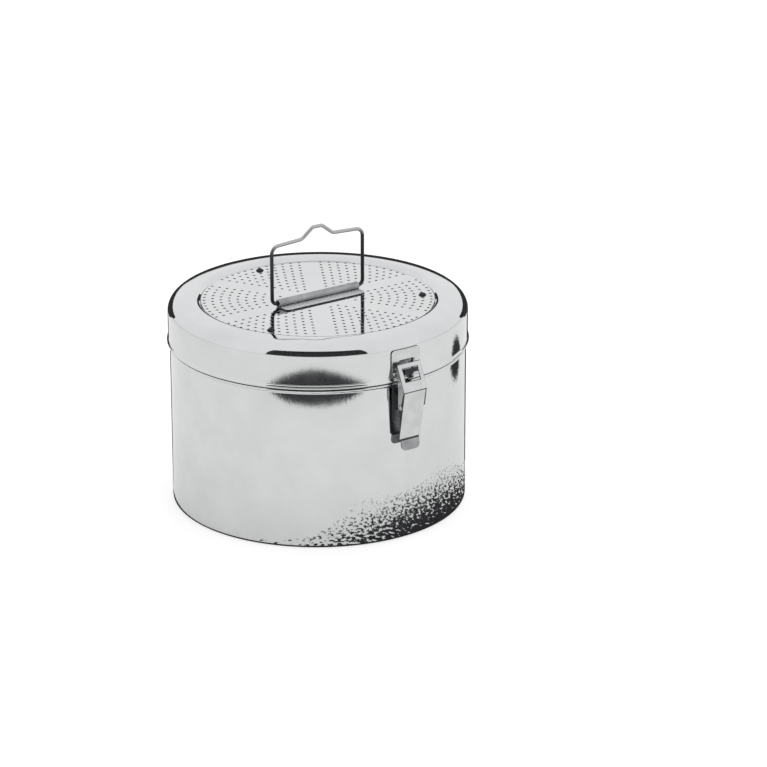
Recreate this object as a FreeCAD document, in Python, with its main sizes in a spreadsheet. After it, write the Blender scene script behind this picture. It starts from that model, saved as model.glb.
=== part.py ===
import FreeCAD, Part
import math
import os

import Sketcher

# A round sterilizing drum of polished steel sheet, standing on its base.
# Origin: centre of the base. +Z up, the latch is at -Y, the lid hinge at +Y,
# and the lid's wire handle turns about a line along X.

doc = FreeCAD.newDocument("SterilizingDrum")
sheet_of_sizes = doc.addObject("Spreadsheet::Sheet", "Sizes")

SIZES = [
    # drum
    ("shell_radius", 120.0),  # outside of the drum's wall
    ("shell_height", 160.0),  # top edge of the drum's wall
    ("steel", 0.9),  # thickness of the drawn sheet
    ("base_chamfer", 1.5),  # turn between the base and the wall
    ("bead_drop", 26.4),  # from the top edge down to the bead that the lid comes down to
    ("bead_tall", 2.5),
    ("bead_proud", 1.0),
    ("neck_inset", 2.0),  # the wall steps in above the bead, so that the lid can swing
    # lid
    ("skirt_gap", 0.3),  # between the wall's line and the lid's skirt
    ("seat_gap", 0.3),  # between the drum's bead and the lid
    ("hem_tall", 3.5),  # rolled hem at the foot of the skirt
    ("hem_proud", 1.0),
    ("disc_rise", 7.6),  # top of the perforated disc above the wall's edge
    ("rim_rise", 2.8),  # the rim's top above the disc
    ("shoulder", 8.0),  # turn between the rim and the skirt
    ("rim_wide", 22.3),  # from the wall's line in to where the rim turns down to the disc
    ("turn_wide", 3.4),  # of the slope down to the disc
    ("turn_shift", 0.36),  # keeps the sheet's thickness where the rim slopes down
    ("disc_fit", 0.02),
    # perforation: six sectors of arcs, parted by plain strips
    ("sectors", 6),
    ("first_arc", 2),  # holes in a sector's shortest arc
    ("last_arc", 12),  # holes in a sector's longest arc
    ("hole_pitch", 7.1),  # along an arc
    ("strip_width", 17.92),  # between the end holes of two sectors
    ("hole_across", 3.0),  # corner to corner: the open area of a 2.4 mm round hole
    ("stud_arc", 11),  # the arc where a stud takes a hole's place
    # filter holder under the disc
    ("stud_radius", 2.4),
    ("stud_head", 3.3),
    ("stud_dome", 2.0),
    ("stud_long", 14.0),  # below the disc
    ("stud_slack", 0.15),
    ("cloth_margin", 3.3),  # between the edges of cloth and disc
    ("cloth_thick", 1.0),
    ("layer_gap", 0.1),  # between the parts that lie on each other
    ("holder_margin", 2.3),  # between the edges of holder and disc
    ("holder_thick", 1.0),
    ("holder_band", 13.0),  # outer ring of the holder
    ("holder_hub", 22.0),
    ("holder_middle", 50.0),  # radius of the holder's inner ring
    ("holder_spoke", 8.0),
    ("nut_radius", 6.0),
    ("nut_tall", 6.0),
    ("nut_flat", 0.8),  # turned edge of the nut
    # lid handle
    ("wire_radius", 1.5),
    ("handle_half", 44.0),  # from the middle to a leg
    ("handle_shoulder", 48.0),  # height of the two shoulders over the axis
    ("handle_top", 57.7),
    ("hump_foot", 15.0),  # half width of the hump at its foot
    ("hump_crown", 4.5),
    ("foot_bend", 4.6),
    ("shoulder_bend", 6.5),
    ("hump_bend", 7.0),
    ("barrel_radius", 3.2),
    ("barrel_half", 38.8),
    ("wire_play", 0.1),
    ("wire_reach", 20.0),  # how far each end of the wire goes into the barrel
    ("flange_reach", 13.0),
    ("flange_thick", 1.0),
    ("flange_corner", 4.0),
    # latch: places off the lever pin, outward and up or down
    ("weld_gap", 0.05),  # between a curved plate and the wall that it is riveted to
    ("plate_thick", 1.2),
    ("pivot_off", 10.2),  # lever pin, off the wall
    ("pivot_drop", 7.4),  # lever pin, below the bead's top
    ("joint_back", 0.6),  # link rivets, nearer to the wall than the pin
    ("joint_drop", 9.9),
    ("ear_inside", 7.7),
    ("ear_thick", 1.2),
    ("ear_round", 2.4),
    ("ear_drop", 2.2),
    ("ear_tall", 14.0),
    ("bracket_drop", 23.2),
    ("bracket_width", 22.0),
    ("pin_radius", 1.4),
    ("pin_play", 0.08),
    ("side_gap", 0.25),  # between the plates that pass each other at the latch
    ("lever_steel", 0.9),
    ("lever_rise", 2.2),
    ("lever_top_off", 4.1),
    ("lever_drop", 38.0),
    ("lever_low_back", 2.9),
    ("lever_flange_rise", 5.8),  # from the lever's crease up to where the flanges end
    ("lever_back", 3.3),  # the flanges' edges, nearer to the wall than the pin
    ("tongue_long", 9.8),
    ("tongue_kick", 1.9),  # outward from the crease
    ("tongue_width", 17.3),
    ("tongue_corner", 4.0),
    ("link_steel", 0.8),
    ("link_plate", 1.0),
    ("link_foot_rise", 12.9),
    ("link_foot_off", 5.3),
    ("link_tall", 20.6),
    ("link_lean", 9.5),  # how far the link's plate leans in
    ("link_round", 2.8),
    ("link_rivet", 1.2),
    ("link_rivet_head", 2.1),
    ("link_head_tall", 0.9),
    ("window_half", 7.3),
    ("window_rise", 7.3),  # above the foot of the link's plate
    ("window_tall", 10.0),
    # catch on the lid
    ("catch_width", 27.0),
    ("catch_rise", 4.4),  # above the bead
    ("catch_tall", 22.7),
    ("catch_thick", 1.0),
    ("catch_corner", 3.0),
    ("hook_half", 6.45),
    ("hook_rise", 4.5),  # above the window's lower edge
    ("hook_gap", 0.7),  # between the hook's floor and the window's upper edge
    ("hook_lip", 0.5),
    ("hook_off", 4.1),  # outward from the plate's top
    ("slot_rise", 5.5),  # above the window
    # lid hinge
    ("hinge_off", 7.5),  # off the wall
    ("hinge_drop", 0.6),  # below the bead's top
    ("knuckle_radius", 3.4),
    ("hinge_pin_radius", 1.9),
    ("hinge_play", 0.08),
    ("hinge_half", 18.0),
    ("knuckle_half", 7.7),  # the lid's knuckle in the middle
    ("knuckle_gap", 0.3),
    ("web_tall", 7.5),  # where the sheet of a leaf runs out to its knuckle
    ("leaf_drop", 27.0),
    ("leaf_rise", 24.0),
    # rivets
    ("rivet_radius", 1.4),
    ("rivet_head", 2.6),
    ("rivet_tall", 1.0),
    ("catch_rivet_out", 10.0),
    ("leaf_rivet_out", 11.0),
    ("bracket_rivet_edge", 3.5),
    ("bracket_rivet_rise", 1.4),
]

for row, (word, value) in enumerate(SIZES, start=1):
    sheet_of_sizes.set(f"A{row}", word)
    sheet_of_sizes.set(f"B{row}", str(value))
    sheet_of_sizes.setAlias(f"B{row}", word)
doc.recompute()

# Places that follow from the sizes: distances from the drum's axis, then heights
PLACES = {
    "recess_radius": "shell_radius - rim_wide",
    "disc_radius": "recess_radius - turn_wide",
    "cloth_radius": "disc_radius - cloth_margin",
    "holder_radius": "disc_radius - holder_margin",
    "pivot_out": "shell_radius + pivot_off",
    "joint_out": "pivot_out - joint_back",
    "lever_top_out": "pivot_out + lever_top_off",
    "lever_low_out": "pivot_out - lever_low_back",
    "lever_flange_back": "pivot_out - lever_back",
    "tongue_low_out": "lever_low_out + tongue_kick",
    "link_foot_out": "joint_out + link_foot_off",
    "link_top_out": "link_foot_out - link_lean",
    "hook_out": "link_top_out + hook_off",
    "hinge_out": "shell_radius + hinge_off",
    "bead_top": "shell_height - bead_drop",
    "disc_level": "shell_height + disc_rise",
    "pivot_level": "bead_top - pivot_drop",
    "joint_level": "pivot_level - joint_drop",
    "ear_root_top": "pivot_level - ear_drop",
    "ear_root_low": "ear_root_top - ear_tall",
    "bracket_low": "pivot_level - bracket_drop",
    "bracket_rivet_low": "bracket_low + bracket_rivet_edge",
    "bracket_rivet_top": "pivot_level + bracket_rivet_rise",
    "lever_top": "pivot_level + lever_rise",
    "lever_low": "pivot_level - lever_drop",
    "lever_flange_low": "lever_low + lever_flange_rise",
    "tongue_low": "lever_low - tongue_long",
    "link_foot": "joint_level + link_foot_rise",
    "link_top": "link_foot + link_tall",
    "window_low": "link_foot + window_rise",
    "window_top": "window_low + window_tall",
    "catch_low": "bead_top + catch_rise",
    "catch_top": "catch_low + catch_tall",
    "hook_low": "window_low + hook_rise",
    "hook_floor": "window_top - hook_gap",
    "slot_top": "window_top + slot_rise",
    "hinge_level": "bead_top - hinge_drop",
    "leaf_low": "hinge_level - leaf_drop",
    "leaf_top": "hinge_level + leaf_rise",
}


def bound(expression):
    """The expression with each place worked out and each size's name in its full form."""
    words = sorted((word for word, _ in SIZES), key=len, reverse=True)
    out, at = "", 0
    while at < len(expression):
        piece = ""
        while at < len(expression) and (expression[at].isalnum() or expression[at] == "_"):
            piece += expression[at]
            at += 1
        if piece in PLACES:
            out += f"({bound(PLACES[piece])})"
        elif piece:
            out += f"Sizes.{piece}" if piece in words else piece
        else:
            out += expression[at]
            at += 1
    return out


def size(expression):
    """The number that an expression of sizes stands for."""
    value = sheet_of_sizes.evalExpression(bound(expression))
    return float(getattr(value, "Value", value))


def bind(thing, prop, expression):
    thing.setExpression(prop, bound(expression))


def new_body(label):
    body = doc.addObject("PartDesign::Body", label)
    body.Label = label
    return body


def sketch_on(body, name, role, offset=None):
    sketch = body.newObject("Sketcher::SketchObject", name)
    plane = next(f for f in body.Origin.OriginFeatures if f.Role == role)
    sketch.AttachmentSupport = [(plane, "")]
    sketch.MapMode = "FlatFace"
    if offset:
        bind(sketch, "AttachmentOffset.Base.z", offset)
    return sketch


def pin_down(sketch, geometry, end, across, up):
    """Hold one end of a line at a place that is given by two expressions."""
    for kind, expression in (("DistanceX", across), ("DistanceY", up)):
        rule = Sketcher.Constraint(kind, -1, 1, geometry, end, size(expression))
        bind(sketch, f"Constraints[{sketch.addConstraint(rule)}]", expression)


def outline(sketch, corners, rounds=None, closed=True):
    """Straight lines through corners given as expressions, some corners rounded."""
    first = sketch.GeometryCount
    spots = [FreeCAD.Vector(size(across), size(up), 0) for across, up in corners]
    count = len(corners) if closed else len(corners) - 1
    for index in range(count):
        sketch.addGeometry(Part.LineSegment(spots[index], spots[(index + 1) % len(spots)]), False)
    for index in range(1, count):
        sketch.addConstraint(Sketcher.Constraint("Coincident", first + index - 1, 2, first + index, 1))
    if closed:
        sketch.addConstraint(Sketcher.Constraint("Coincident", first + count - 1, 2, first, 1))
    for index, (across, up) in enumerate(corners):
        at_end = index == count
        pin_down(sketch, first + index - at_end, 2 if at_end else 1, across, up)
    for index, radius in (rounds or {}).items():
        before = first + (index - 1) % count
        sketch.fillet(before, 2, size(radius), True, True)
        arc = next(
            g
            for g in range(sketch.GeometryCount - 1, -1, -1)
            if sketch.Geometry[g].TypeId == "Part::GeomArcOfCircle"
        )
        rule = sketch.addConstraint(Sketcher.Constraint("Radius", arc, size(radius)))
        bind(sketch, f"Constraints[{rule}]", radius)
    return sketch


def circle(sketch, across, up, radius):
    centre = FreeCAD.Vector(size(across), size(up), 0)
    ring = sketch.addGeometry(Part.Circle(centre, FreeCAD.Vector(0, 0, 1), size(radius)), False)
    pin_down(sketch, ring, 3, across, up)
    rule = sketch.addConstraint(Sketcher.Constraint("Radius", ring, size(radius)))
    bind(sketch, f"Constraints[{rule}]", radius)
    return sketch


def feature(body, kind, name, sketch):
    made = body.newObject(f"PartDesign::{kind}", name)
    made.Profile = sketch
    sketch.Visibility = False
    return made


def pad(body, name, sketch, length, midplane=False):
    made = feature(body, "Pad", name, sketch)
    bind(made, "Length", length)
    made.Midplane = midplane
    doc.recompute()
    return made


def cut(body, name, sketch, length=None, midplane=False, front=False):
    """A pocket of the given length, or through all to the back or below, or to the front."""
    before = body.Shape.Volume
    made = feature(body, "Pocket", name, sketch)
    if length:
        bind(made, "Length", length)
    else:
        made.Type = 1
    made.Midplane = midplane
    made.Reversed = front
    doc.recompute()
    if body.Shape.Volume >= before:
        raise RuntimeError(f"{body.Label}: {name} cuts nothing")
    return made


def revolve(body, name, sketch, angle="360"):
    made = feature(body, "Revolution", name, sketch)
    made.ReferenceAxis = (sketch, ["V_Axis"])
    bind(made, "Angle", angle)
    made.Midplane = True
    doc.recompute()
    return made


def mirror(body, name, originals):
    """The same features again at -X."""
    made = body.newObject("PartDesign::Mirrored", name)
    made.Originals = originals
    made.MirrorPlane = (next(f for f in body.Origin.OriginFeatures if f.Role == "YZ_Plane"), [""])
    body.Tip = made
    doc.recompute()
    return made


def round_edges(body, name, radius, wanted):
    """Fillet the edges of the tip whose midpoint and length the test accepts."""
    tip = body.Tip
    names = [
        f"Edge{index}"
        for index, edge in enumerate(tip.Shape.Edges, start=1)
        if wanted(edge.CenterOfMass, edge.Length)
    ]
    made = body.newObject("PartDesign::Fillet", name)
    made.Base = (tip, names)
    bind(made, "Radius", radius)
    doc.recompute()
    return made


def curved_plate(body, role_sign, inside, thick, low, top, width):
    """A plate that follows the wall: a short turn of its section about the Z axis."""
    sketch = sketch_on(body, "PlateSection", "YZ_Plane")
    near, far = f"{role_sign}({inside})", f"{role_sign}({inside} + {thick})"
    outline(sketch, [(near, low), (far, low), (far, top), (near, top)])
    return revolve(body, "Plate", sketch, f"({width}) / ({inside}) * 180 / {math.pi}")


# Heights and radii that several parts share
SKIRT_IN = "(shell_radius + skirt_gap)"
SKIRT_OUT = "(shell_radius + skirt_gap + steel)"
LID_FOOT = "(bead_top + seat_gap)"
RIM_TOP = "(disc_level + rim_rise)"
UNDER_DISC = "(disc_level - steel)"
LEVER_HALF = "(ear_inside + ear_thick + side_gap + lever_steel)"
LINK_INSIDE = f"({LEVER_HALF} + side_gap)"
LINK_HALF = f"({LINK_INSIDE} + link_steel)"
AXIS_LEVEL = "(disc_level + barrel_radius)"
BEAD_FOOT = "(bead_top - bead_tall)"
HOLDER_TOP = "(disc_level - steel - 2 * layer_gap - cloth_thick)"
CATCH_RIVETS = "((hook_low + catch_low) / 2 + rivet_head)"
DRUM_LEAF_RIVETS = f"((leaf_low + {BEAD_FOOT}) / 2)"
LID_LEAF_RIVETS = "((leaf_top + catch_low) / 2)"


def sector_middles():
    step = 360.0 / size("sectors")
    return [step * (0.5 + index) for index in range(int(size("sectors")))]


def arc_radius(holes):
    """Radius at which an arc of so many holes fills one sector."""
    turn = 2 * math.pi / size("sectors")
    return ((holes - 1) * size("hole_pitch") + size("strip_width")) / turn


def stud_places():
    """One stud in every other sector, in place of the middle hole of its arc."""
    radius = arc_radius(size("stud_arc"))
    turns = [math.radians(angle) for angle in sector_middles()[1::2]]
    return [(radius * math.cos(turn), radius * math.sin(turn)) for turn in turns]


def drum_shell():
    body = new_body("drum_shell")
    inner, neck = "(shell_radius - steel)", "(shell_radius - neck_inset)"
    section = outline(
        sketch_on(body, "Section", "XZ_Plane"),
        [
            ("0", "0"),
            ("shell_radius - base_chamfer", "0"),
            ("shell_radius", "base_chamfer"),
            ("shell_radius", BEAD_FOOT),
            ("shell_radius + bead_proud", f"{BEAD_FOOT} + bead_proud"),
            ("shell_radius + bead_proud", "bead_top"),
            (neck, "bead_top"),
            (neck, "shell_height"),
            (f"{neck} - steel", "shell_height"),
            (f"{neck} - steel", "bead_top - steel"),
            (inner, f"{BEAD_FOOT} - steel"),
            (inner, "steel"),
            ("0", "steel"),
        ],
    )
    revolve(body, "Shell", section)
    holes = sketch_on(body, "FrontRivetHoles", "XZ_Plane")
    for level in ("bracket_rivet_low", "bracket_rivet_top"):
        circle(holes, "0", level, "rivet_radius")
    cut(body, "FrontRivets", holes, front=True)
    holes = sketch_on(body, "BackRivetHoles", "XZ_Plane")
    for side in ("-", ""):
        circle(holes, f"{side}leaf_rivet_out", DRUM_LEAF_RIVETS, "rivet_radius")
    cut(body, "BackRivets", holes)
    return body


def lid_shell():
    body = new_body("lid_shell")
    section = outline(
        sketch_on(body, "Section", "XZ_Plane"),
        [
            (SKIRT_IN, LID_FOOT),
            (f"{SKIRT_OUT} + hem_proud", LID_FOOT),
            (f"{SKIRT_OUT} + hem_proud", f"{LID_FOOT} + hem_tall - hem_proud"),
            (SKIRT_OUT, f"{LID_FOOT} + hem_tall"),
            (SKIRT_OUT, RIM_TOP),
            ("recess_radius", RIM_TOP),
            ("disc_radius", "disc_level"),
            ("disc_radius", UNDER_DISC),
            ("disc_radius + turn_shift", UNDER_DISC),
            ("recess_radius + turn_shift", f"{RIM_TOP} - steel"),
            (SKIRT_IN, f"{RIM_TOP} - steel"),
        ],
    )
    revolve(body, "Shell", section)
    outer_top, inner_top = size(RIM_TOP), size(f"{RIM_TOP} - steel")
    outer_turn, inner_turn = size(SKIRT_OUT), size(SKIRT_IN)
    round_edges(
        body,
        "OuterShoulder",
        "shoulder",
        lambda mid, long: abs(mid.z - outer_top) < 1e-3 and abs(long / 2 / math.pi - outer_turn) < 0.1,
    )
    round_edges(
        body,
        "InnerShoulder",
        "shoulder - steel",
        lambda mid, long: abs(mid.z - inner_top) < 1e-3 and abs(long / 2 / math.pi - inner_turn) < 0.1,
    )
    holes = sketch_on(body, "CatchRivetHoles", "XZ_Plane")
    for side in ("-", ""):
        circle(holes, f"{side}catch_rivet_out", CATCH_RIVETS, "rivet_radius")
    cut(body, "CatchRivets", holes, front=True)
    holes = sketch_on(body, "LeafRivetHoles", "XZ_Plane")
    for side in ("-", ""):
        circle(holes, f"{side}leaf_rivet_out", LID_LEAF_RIVETS, "rivet_radius")
    cut(body, "LeafRivets", holes)
    return body


def punch_hole(radius, turn):
    """The sides of one four-cornered hole of the perforation, set corner to corner along its arc."""
    half = size("hole_across") / 2
    middle = FreeCAD.Vector(radius * math.cos(turn), radius * math.sin(turn), 0)
    corners = [
        middle + FreeCAD.Vector(half * math.cos(turn + quarter), half * math.sin(turn + quarter), 0)
        for quarter in (0, math.pi / 2, math.pi, 3 * math.pi / 2)
    ]
    return [Part.LineSegment(corner, corners[(index + 1) % 4]) for index, corner in enumerate(corners)]


def perforation():
    """Every hole as radius and turn: each sector has arcs of 2, 3, 4 and so on up to 12 holes."""
    studded = sector_middles()[1::2]
    for middle in sector_middles():
        for holes in range(int(size("first_arc")), int(size("last_arc")) + 1):
            radius = arc_radius(holes)
            for index in range(holes):
                off_middle = index - (holes - 1) / 2
                if holes == int(size("stud_arc")) and off_middle == 0 and middle in studded:
                    continue
                yield radius, math.radians(middle) + off_middle * size("hole_pitch") / radius


def lid_disc():
    """The perforated disc, with a hole for each stud."""
    body = new_body("lid_disc")
    blank = circle(sketch_on(body, "Blank", "XY_Plane", UNDER_DISC), "0", "0", "disc_radius - disc_fit")
    for across, up in stud_places():
        circle(blank, str(across), str(up), "stud_radius + stud_slack")
    sides = [side for radius, turn in perforation() for side in punch_hole(radius, turn)]
    blank.addGeometry(sides, False)
    pad(body, "Disc", blank, "steel")
    return body


def filter_studs():
    """Three threaded studs with low domed heads, which hold the filter under the disc."""
    pieces = []
    ball = "((stud_head * stud_head + stud_dome * stud_dome) / (2 * stud_dome))"
    for index, (across, up) in enumerate(stud_places()):
        shank = doc.addObject("Part::Cylinder", f"StudShank{index}")
        bind(shank, "Radius", "stud_radius")
        bind(shank, "Height", "stud_long + steel")
        shank.Placement.Base = FreeCAD.Vector(across, up, 0)
        bind(shank, "Placement.Base.z", f"{UNDER_DISC} - stud_long")
        head = doc.addObject("Part::Sphere", f"StudHead{index}")
        bind(head, "Radius", ball)
        bind(head, "Angle1", f"asin(1 - stud_dome / {ball})")
        head.Placement.Base = FreeCAD.Vector(across, up, 0)
        bind(head, "Placement.Base.z", f"disc_level + stud_dome - {ball}")
        pieces += [shank, head]
    return fused("filter_studs", pieces)


def fused(label, pieces):
    made = doc.addObject("Part::MultiFuse", label)
    made.Label = label
    made.Shapes = pieces
    doc.recompute()
    return made


def filter_cloth():
    """The round textile filter that the holder presses up against the disc."""
    body = new_body("filter_cloth")
    level = f"{UNDER_DISC} - layer_gap - cloth_thick"
    blank = circle(sketch_on(body, "Blank", "XY_Plane", level), "0", "0", "cloth_radius")
    for across, up in stud_places():
        circle(blank, str(across), str(up), "stud_radius + stud_slack")
    pad(body, "Cloth", blank, "cloth_thick")
    return body


def filter_holder():
    """The holder: a flat grid of two rings of windows, pushed over the studs."""
    body = new_body("filter_holder")
    blank = sketch_on(body, "Blank", "XY_Plane", f"{HOLDER_TOP} - holder_thick")
    circle(blank, "0", "0", "holder_radius")
    for across, up in stud_places():
        circle(blank, str(across), str(up), "stud_radius + stud_slack")
    pad(body, "Plate", blank, "holder_thick")
    ring_of_windows(body, "Inner", "holder_hub", "holder_middle - holder_spoke / 2", "sectors")
    outside = "holder_radius - holder_band"
    ring_of_windows(body, "Outer", "holder_middle + holder_spoke / 2", outside, "2 * sectors")
    return body


def ring_of_windows(body, name, inner, outer, count):
    window = sketch_on(body, f"{name}Window", "XY_Plane", HOLDER_TOP)
    window_shape(window, size(inner), size(outer), math.pi / size(count))
    first = cut(body, f"{name}First", window)
    around = body.newObject("PartDesign::PolarPattern", f"{name}Ring")
    around.Originals = [first]
    around.Axis = (window, ["N_Axis"])
    around.Angle = 360
    bind(around, "Occurrences", count)
    body.Tip = around
    doc.recompute()


def window_shape(sketch, inner, outer, half_turn):
    """One window of the holder: two arcs about the middle, and two sides along the spokes."""
    half_spoke = size("holder_spoke") / 2
    ends = []
    for radius in (inner, outer):
        lean = math.asin(half_spoke / radius)
        ends.append((radius, lean, 2 * half_turn - lean))
    corners = [
        FreeCAD.Vector(radius * math.cos(turn), radius * math.sin(turn), 0)
        for radius, low, high in ends
        for turn in (low, high)
    ]
    normal = FreeCAD.Vector(0, 0, 1)
    for radius, low, high in ends:
        ring = Part.Circle(FreeCAD.Vector(0, 0, 0), normal, radius)
        sketch.addGeometry(Part.ArcOfCircle(ring, low, high), False)
    sketch.addGeometry(Part.LineSegment(corners[0], corners[2]), False)
    sketch.addGeometry(Part.LineSegment(corners[1], corners[3]), False)


def filter_nuts():
    """Three round finger nuts on the studs."""
    pieces = []
    top = f"({HOLDER_TOP} - holder_thick - layer_gap)"
    for index, (across, up) in enumerate(stud_places()):
        solids = []
        for name, radius, shift, tall in (
            ("Grip", "nut_radius", "nut_tall", "nut_tall - nut_flat"),
            ("Land", "nut_radius - nut_flat", "nut_flat", "nut_flat"),
            ("Bore", "stud_radius + stud_slack", "nut_tall", "nut_tall"),
        ):
            round_bar = doc.addObject("Part::Cylinder", f"Nut{name}{index}")
            bind(round_bar, "Radius", radius)
            bind(round_bar, "Height", tall)
            round_bar.Placement.Base = FreeCAD.Vector(across, up, 0)
            bind(round_bar, "Placement.Base.z", f"{top} - {shift}")
            solids.append(round_bar)
        whole = doc.addObject("Part::Fuse", f"NutWhole{index}")
        whole.Base, whole.Tool = solids[0], solids[1]
        bored = doc.addObject("Part::Cut", f"NutBored{index}")
        bored.Base, bored.Tool = whole, solids[2]
        pieces.append(bored)
    doc.recompute()
    made = doc.addObject("Part::Compound", "filter_nuts")
    made.Label = "filter_nuts"
    made.Links = pieces
    doc.recompute()
    return made


def handle_strap():
    """The sheet strap on the disc: a flat flange, rolled up into a barrel for the wire."""
    body = new_body("handle_strap")
    flange = outline(
        sketch_on(body, "FlangeOutline", "XY_Plane", "disc_level"),
        [
            ("-barrel_half", "0"),
            ("-barrel_half", "-flange_reach"),
            ("barrel_half", "-flange_reach"),
            ("barrel_half", "0"),
        ],
        {1: "flange_corner", 2: "flange_corner"},
    )
    pad(body, "Flange", flange, "flange_thick")
    roll = circle(sketch_on(body, "Roll", "YZ_Plane"), "0", AXIS_LEVEL, "barrel_radius")
    pad(body, "Barrel", roll, "2 * barrel_half", midplane=True)
    bore = circle(sketch_on(body, "Bore", "YZ_Plane"), "0", AXIS_LEVEL, "wire_radius + wire_play")
    cut(body, "BarrelBore", bore, "3 * barrel_half", midplane=True)
    return body


def handle_bail():
    """The wire handle: two legs, two shoulders, and a hump for the finger."""
    body = new_body("handle_bail")
    shoulder = f"{AXIS_LEVEL} + handle_shoulder"
    crown = f"{AXIS_LEVEL} + handle_top"
    spine = outline(
        sketch_on(body, "WireLine", "XZ_Plane"),
        [
            ("-(barrel_half - wire_reach)", AXIS_LEVEL),
            ("-handle_half", AXIS_LEVEL),
            ("-handle_half", shoulder),
            ("-hump_foot", f"{shoulder} + wire_radius"),
            ("-hump_crown", crown),
            ("hump_crown", crown),
            ("hump_foot", f"{shoulder} + wire_radius"),
            ("handle_half", shoulder),
            ("handle_half", AXIS_LEVEL),
            ("barrel_half - wire_reach", AXIS_LEVEL),
        ],
        {
            1: "foot_bend",
            2: "shoulder_bend",
            3: "hump_bend",
            4: "hump_bend / 2",
            5: "hump_bend / 2",
            6: "hump_bend",
            7: "shoulder_bend",
            8: "foot_bend",
        },
        closed=False,
    )
    section = circle(
        sketch_on(body, "WireSection", "YZ_Plane", "-(barrel_half - wire_reach)"),
        "0",
        AXIS_LEVEL,
        "wire_radius",
    )
    wire = body.newObject("PartDesign::AdditivePipe", "Wire")
    wire.Profile = section
    wire.Spine = spine
    doc.recompute()
    return body


def side_plate(body, name, corners, inside, thick, rounds=None):
    """A flat plate square to X, on the +X side, from a side view in distance out and height."""
    sketch = sketch_on(body, f"{name}Outline", "YZ_Plane", inside)
    outline(sketch, [(f"-({out})", level) for out, level in corners], rounds)
    return pad(body, name, sketch, thick)


def side_disc(body, name, out, level, radius, inside, thick):
    sketch = sketch_on(body, f"{name}Outline", "YZ_Plane", inside)
    circle(sketch, f"-({out})", level, radius)
    return pad(body, name, sketch, thick)


def cross_bore(body, name, out, level, radius):
    sketch = sketch_on(body, f"{name}Outline", "YZ_Plane")
    circle(sketch, out, level, radius)
    return cut(body, name, sketch, "4 * hinge_half", midplane=True)


def latch_bracket():
    """A curved plate on the wall, with two ears for the lever's pin."""
    body = new_body("latch_bracket")
    seat = "shell_radius + weld_gap"
    curved_plate(body, "-", seat, "plate_thick", "bracket_low", f"{BEAD_FOOT} - side_gap", "bracket_width")
    root = f"{seat} + plate_thick / 2"
    ear = side_plate(
        body,
        "Ear",
        [
            (root, "ear_root_top"),
            ("pivot_out", "pivot_level + ear_round"),
            ("pivot_out", "pivot_level - ear_round"),
            (root, "ear_root_low"),
        ],
        "ear_inside",
        "ear_thick",
    )
    eye = side_disc(body, "EarEnd", "pivot_out", "pivot_level", "ear_round", "ear_inside", "ear_thick")
    mirror(body, "BothEars", [ear, eye])
    cross_bore(body, "PinBore", "-pivot_out", "pivot_level", "pin_radius")
    holes = sketch_on(body, "RivetHoles", "XZ_Plane")
    for level in ("bracket_rivet_low", "bracket_rivet_top"):
        circle(holes, "0", level, "rivet_radius")
    cut(body, "Rivets", holes, front=True)
    return body


def latch_lever():
    """The lever: a channel at its pivots, a plain plate below, and a finger tongue."""
    body = new_body("latch_lever")
    front = outline(
        sketch_on(body, "FrontSection", "YZ_Plane"),
        [
            ("-lever_top_out", "lever_top"),
            ("-lever_low_out", "lever_low"),
            ("-(lever_low_out - lever_steel)", "lever_low"),
            ("-(lever_top_out - lever_steel)", "lever_top"),
        ],
    )
    pad(body, "Front", front, f"2 * {LEVER_HALF}", midplane=True)
    tongue = outline(
        sketch_on(body, "TongueSection", "YZ_Plane"),
        [
            ("-lever_low_out", "lever_low"),
            ("-tongue_low_out", "tongue_low"),
            ("-(tongue_low_out - lever_steel)", "tongue_low"),
            ("-(lever_low_out - lever_steel)", "lever_low"),
        ],
    )
    pad(body, "Tongue", tongue, "tongue_width", midplane=True)
    low, half = size("tongue_low"), size("tongue_width") / 2
    round_edges(
        body,
        "TongueCorners",
        "tongue_corner",
        lambda mid, long: abs(mid.z - low) < 0.01 and abs(abs(mid.x) - half) < 0.01,
    )
    flange = side_plate(
        body,
        "Flange",
        [
            ("lever_top_out - lever_steel / 2", "lever_top"),
            ("lever_flange_back + lever_steel", "lever_top"),
            ("lever_flange_back", "pivot_level - ear_round / 2"),
            ("lever_flange_back", "joint_level - link_round"),
            ("lever_low_out + lever_steel / 2", "lever_flange_low"),
        ],
        f"{LEVER_HALF} - lever_steel",
        "lever_steel",
    )
    mirror(body, "BothFlanges", [flange])
    cross_bore(body, "PinBore", "-pivot_out", "pivot_level", "pin_radius + pin_play")
    cross_bore(body, "JointBore", "-joint_out", "joint_level", "link_rivet + pin_play")
    return body


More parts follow.
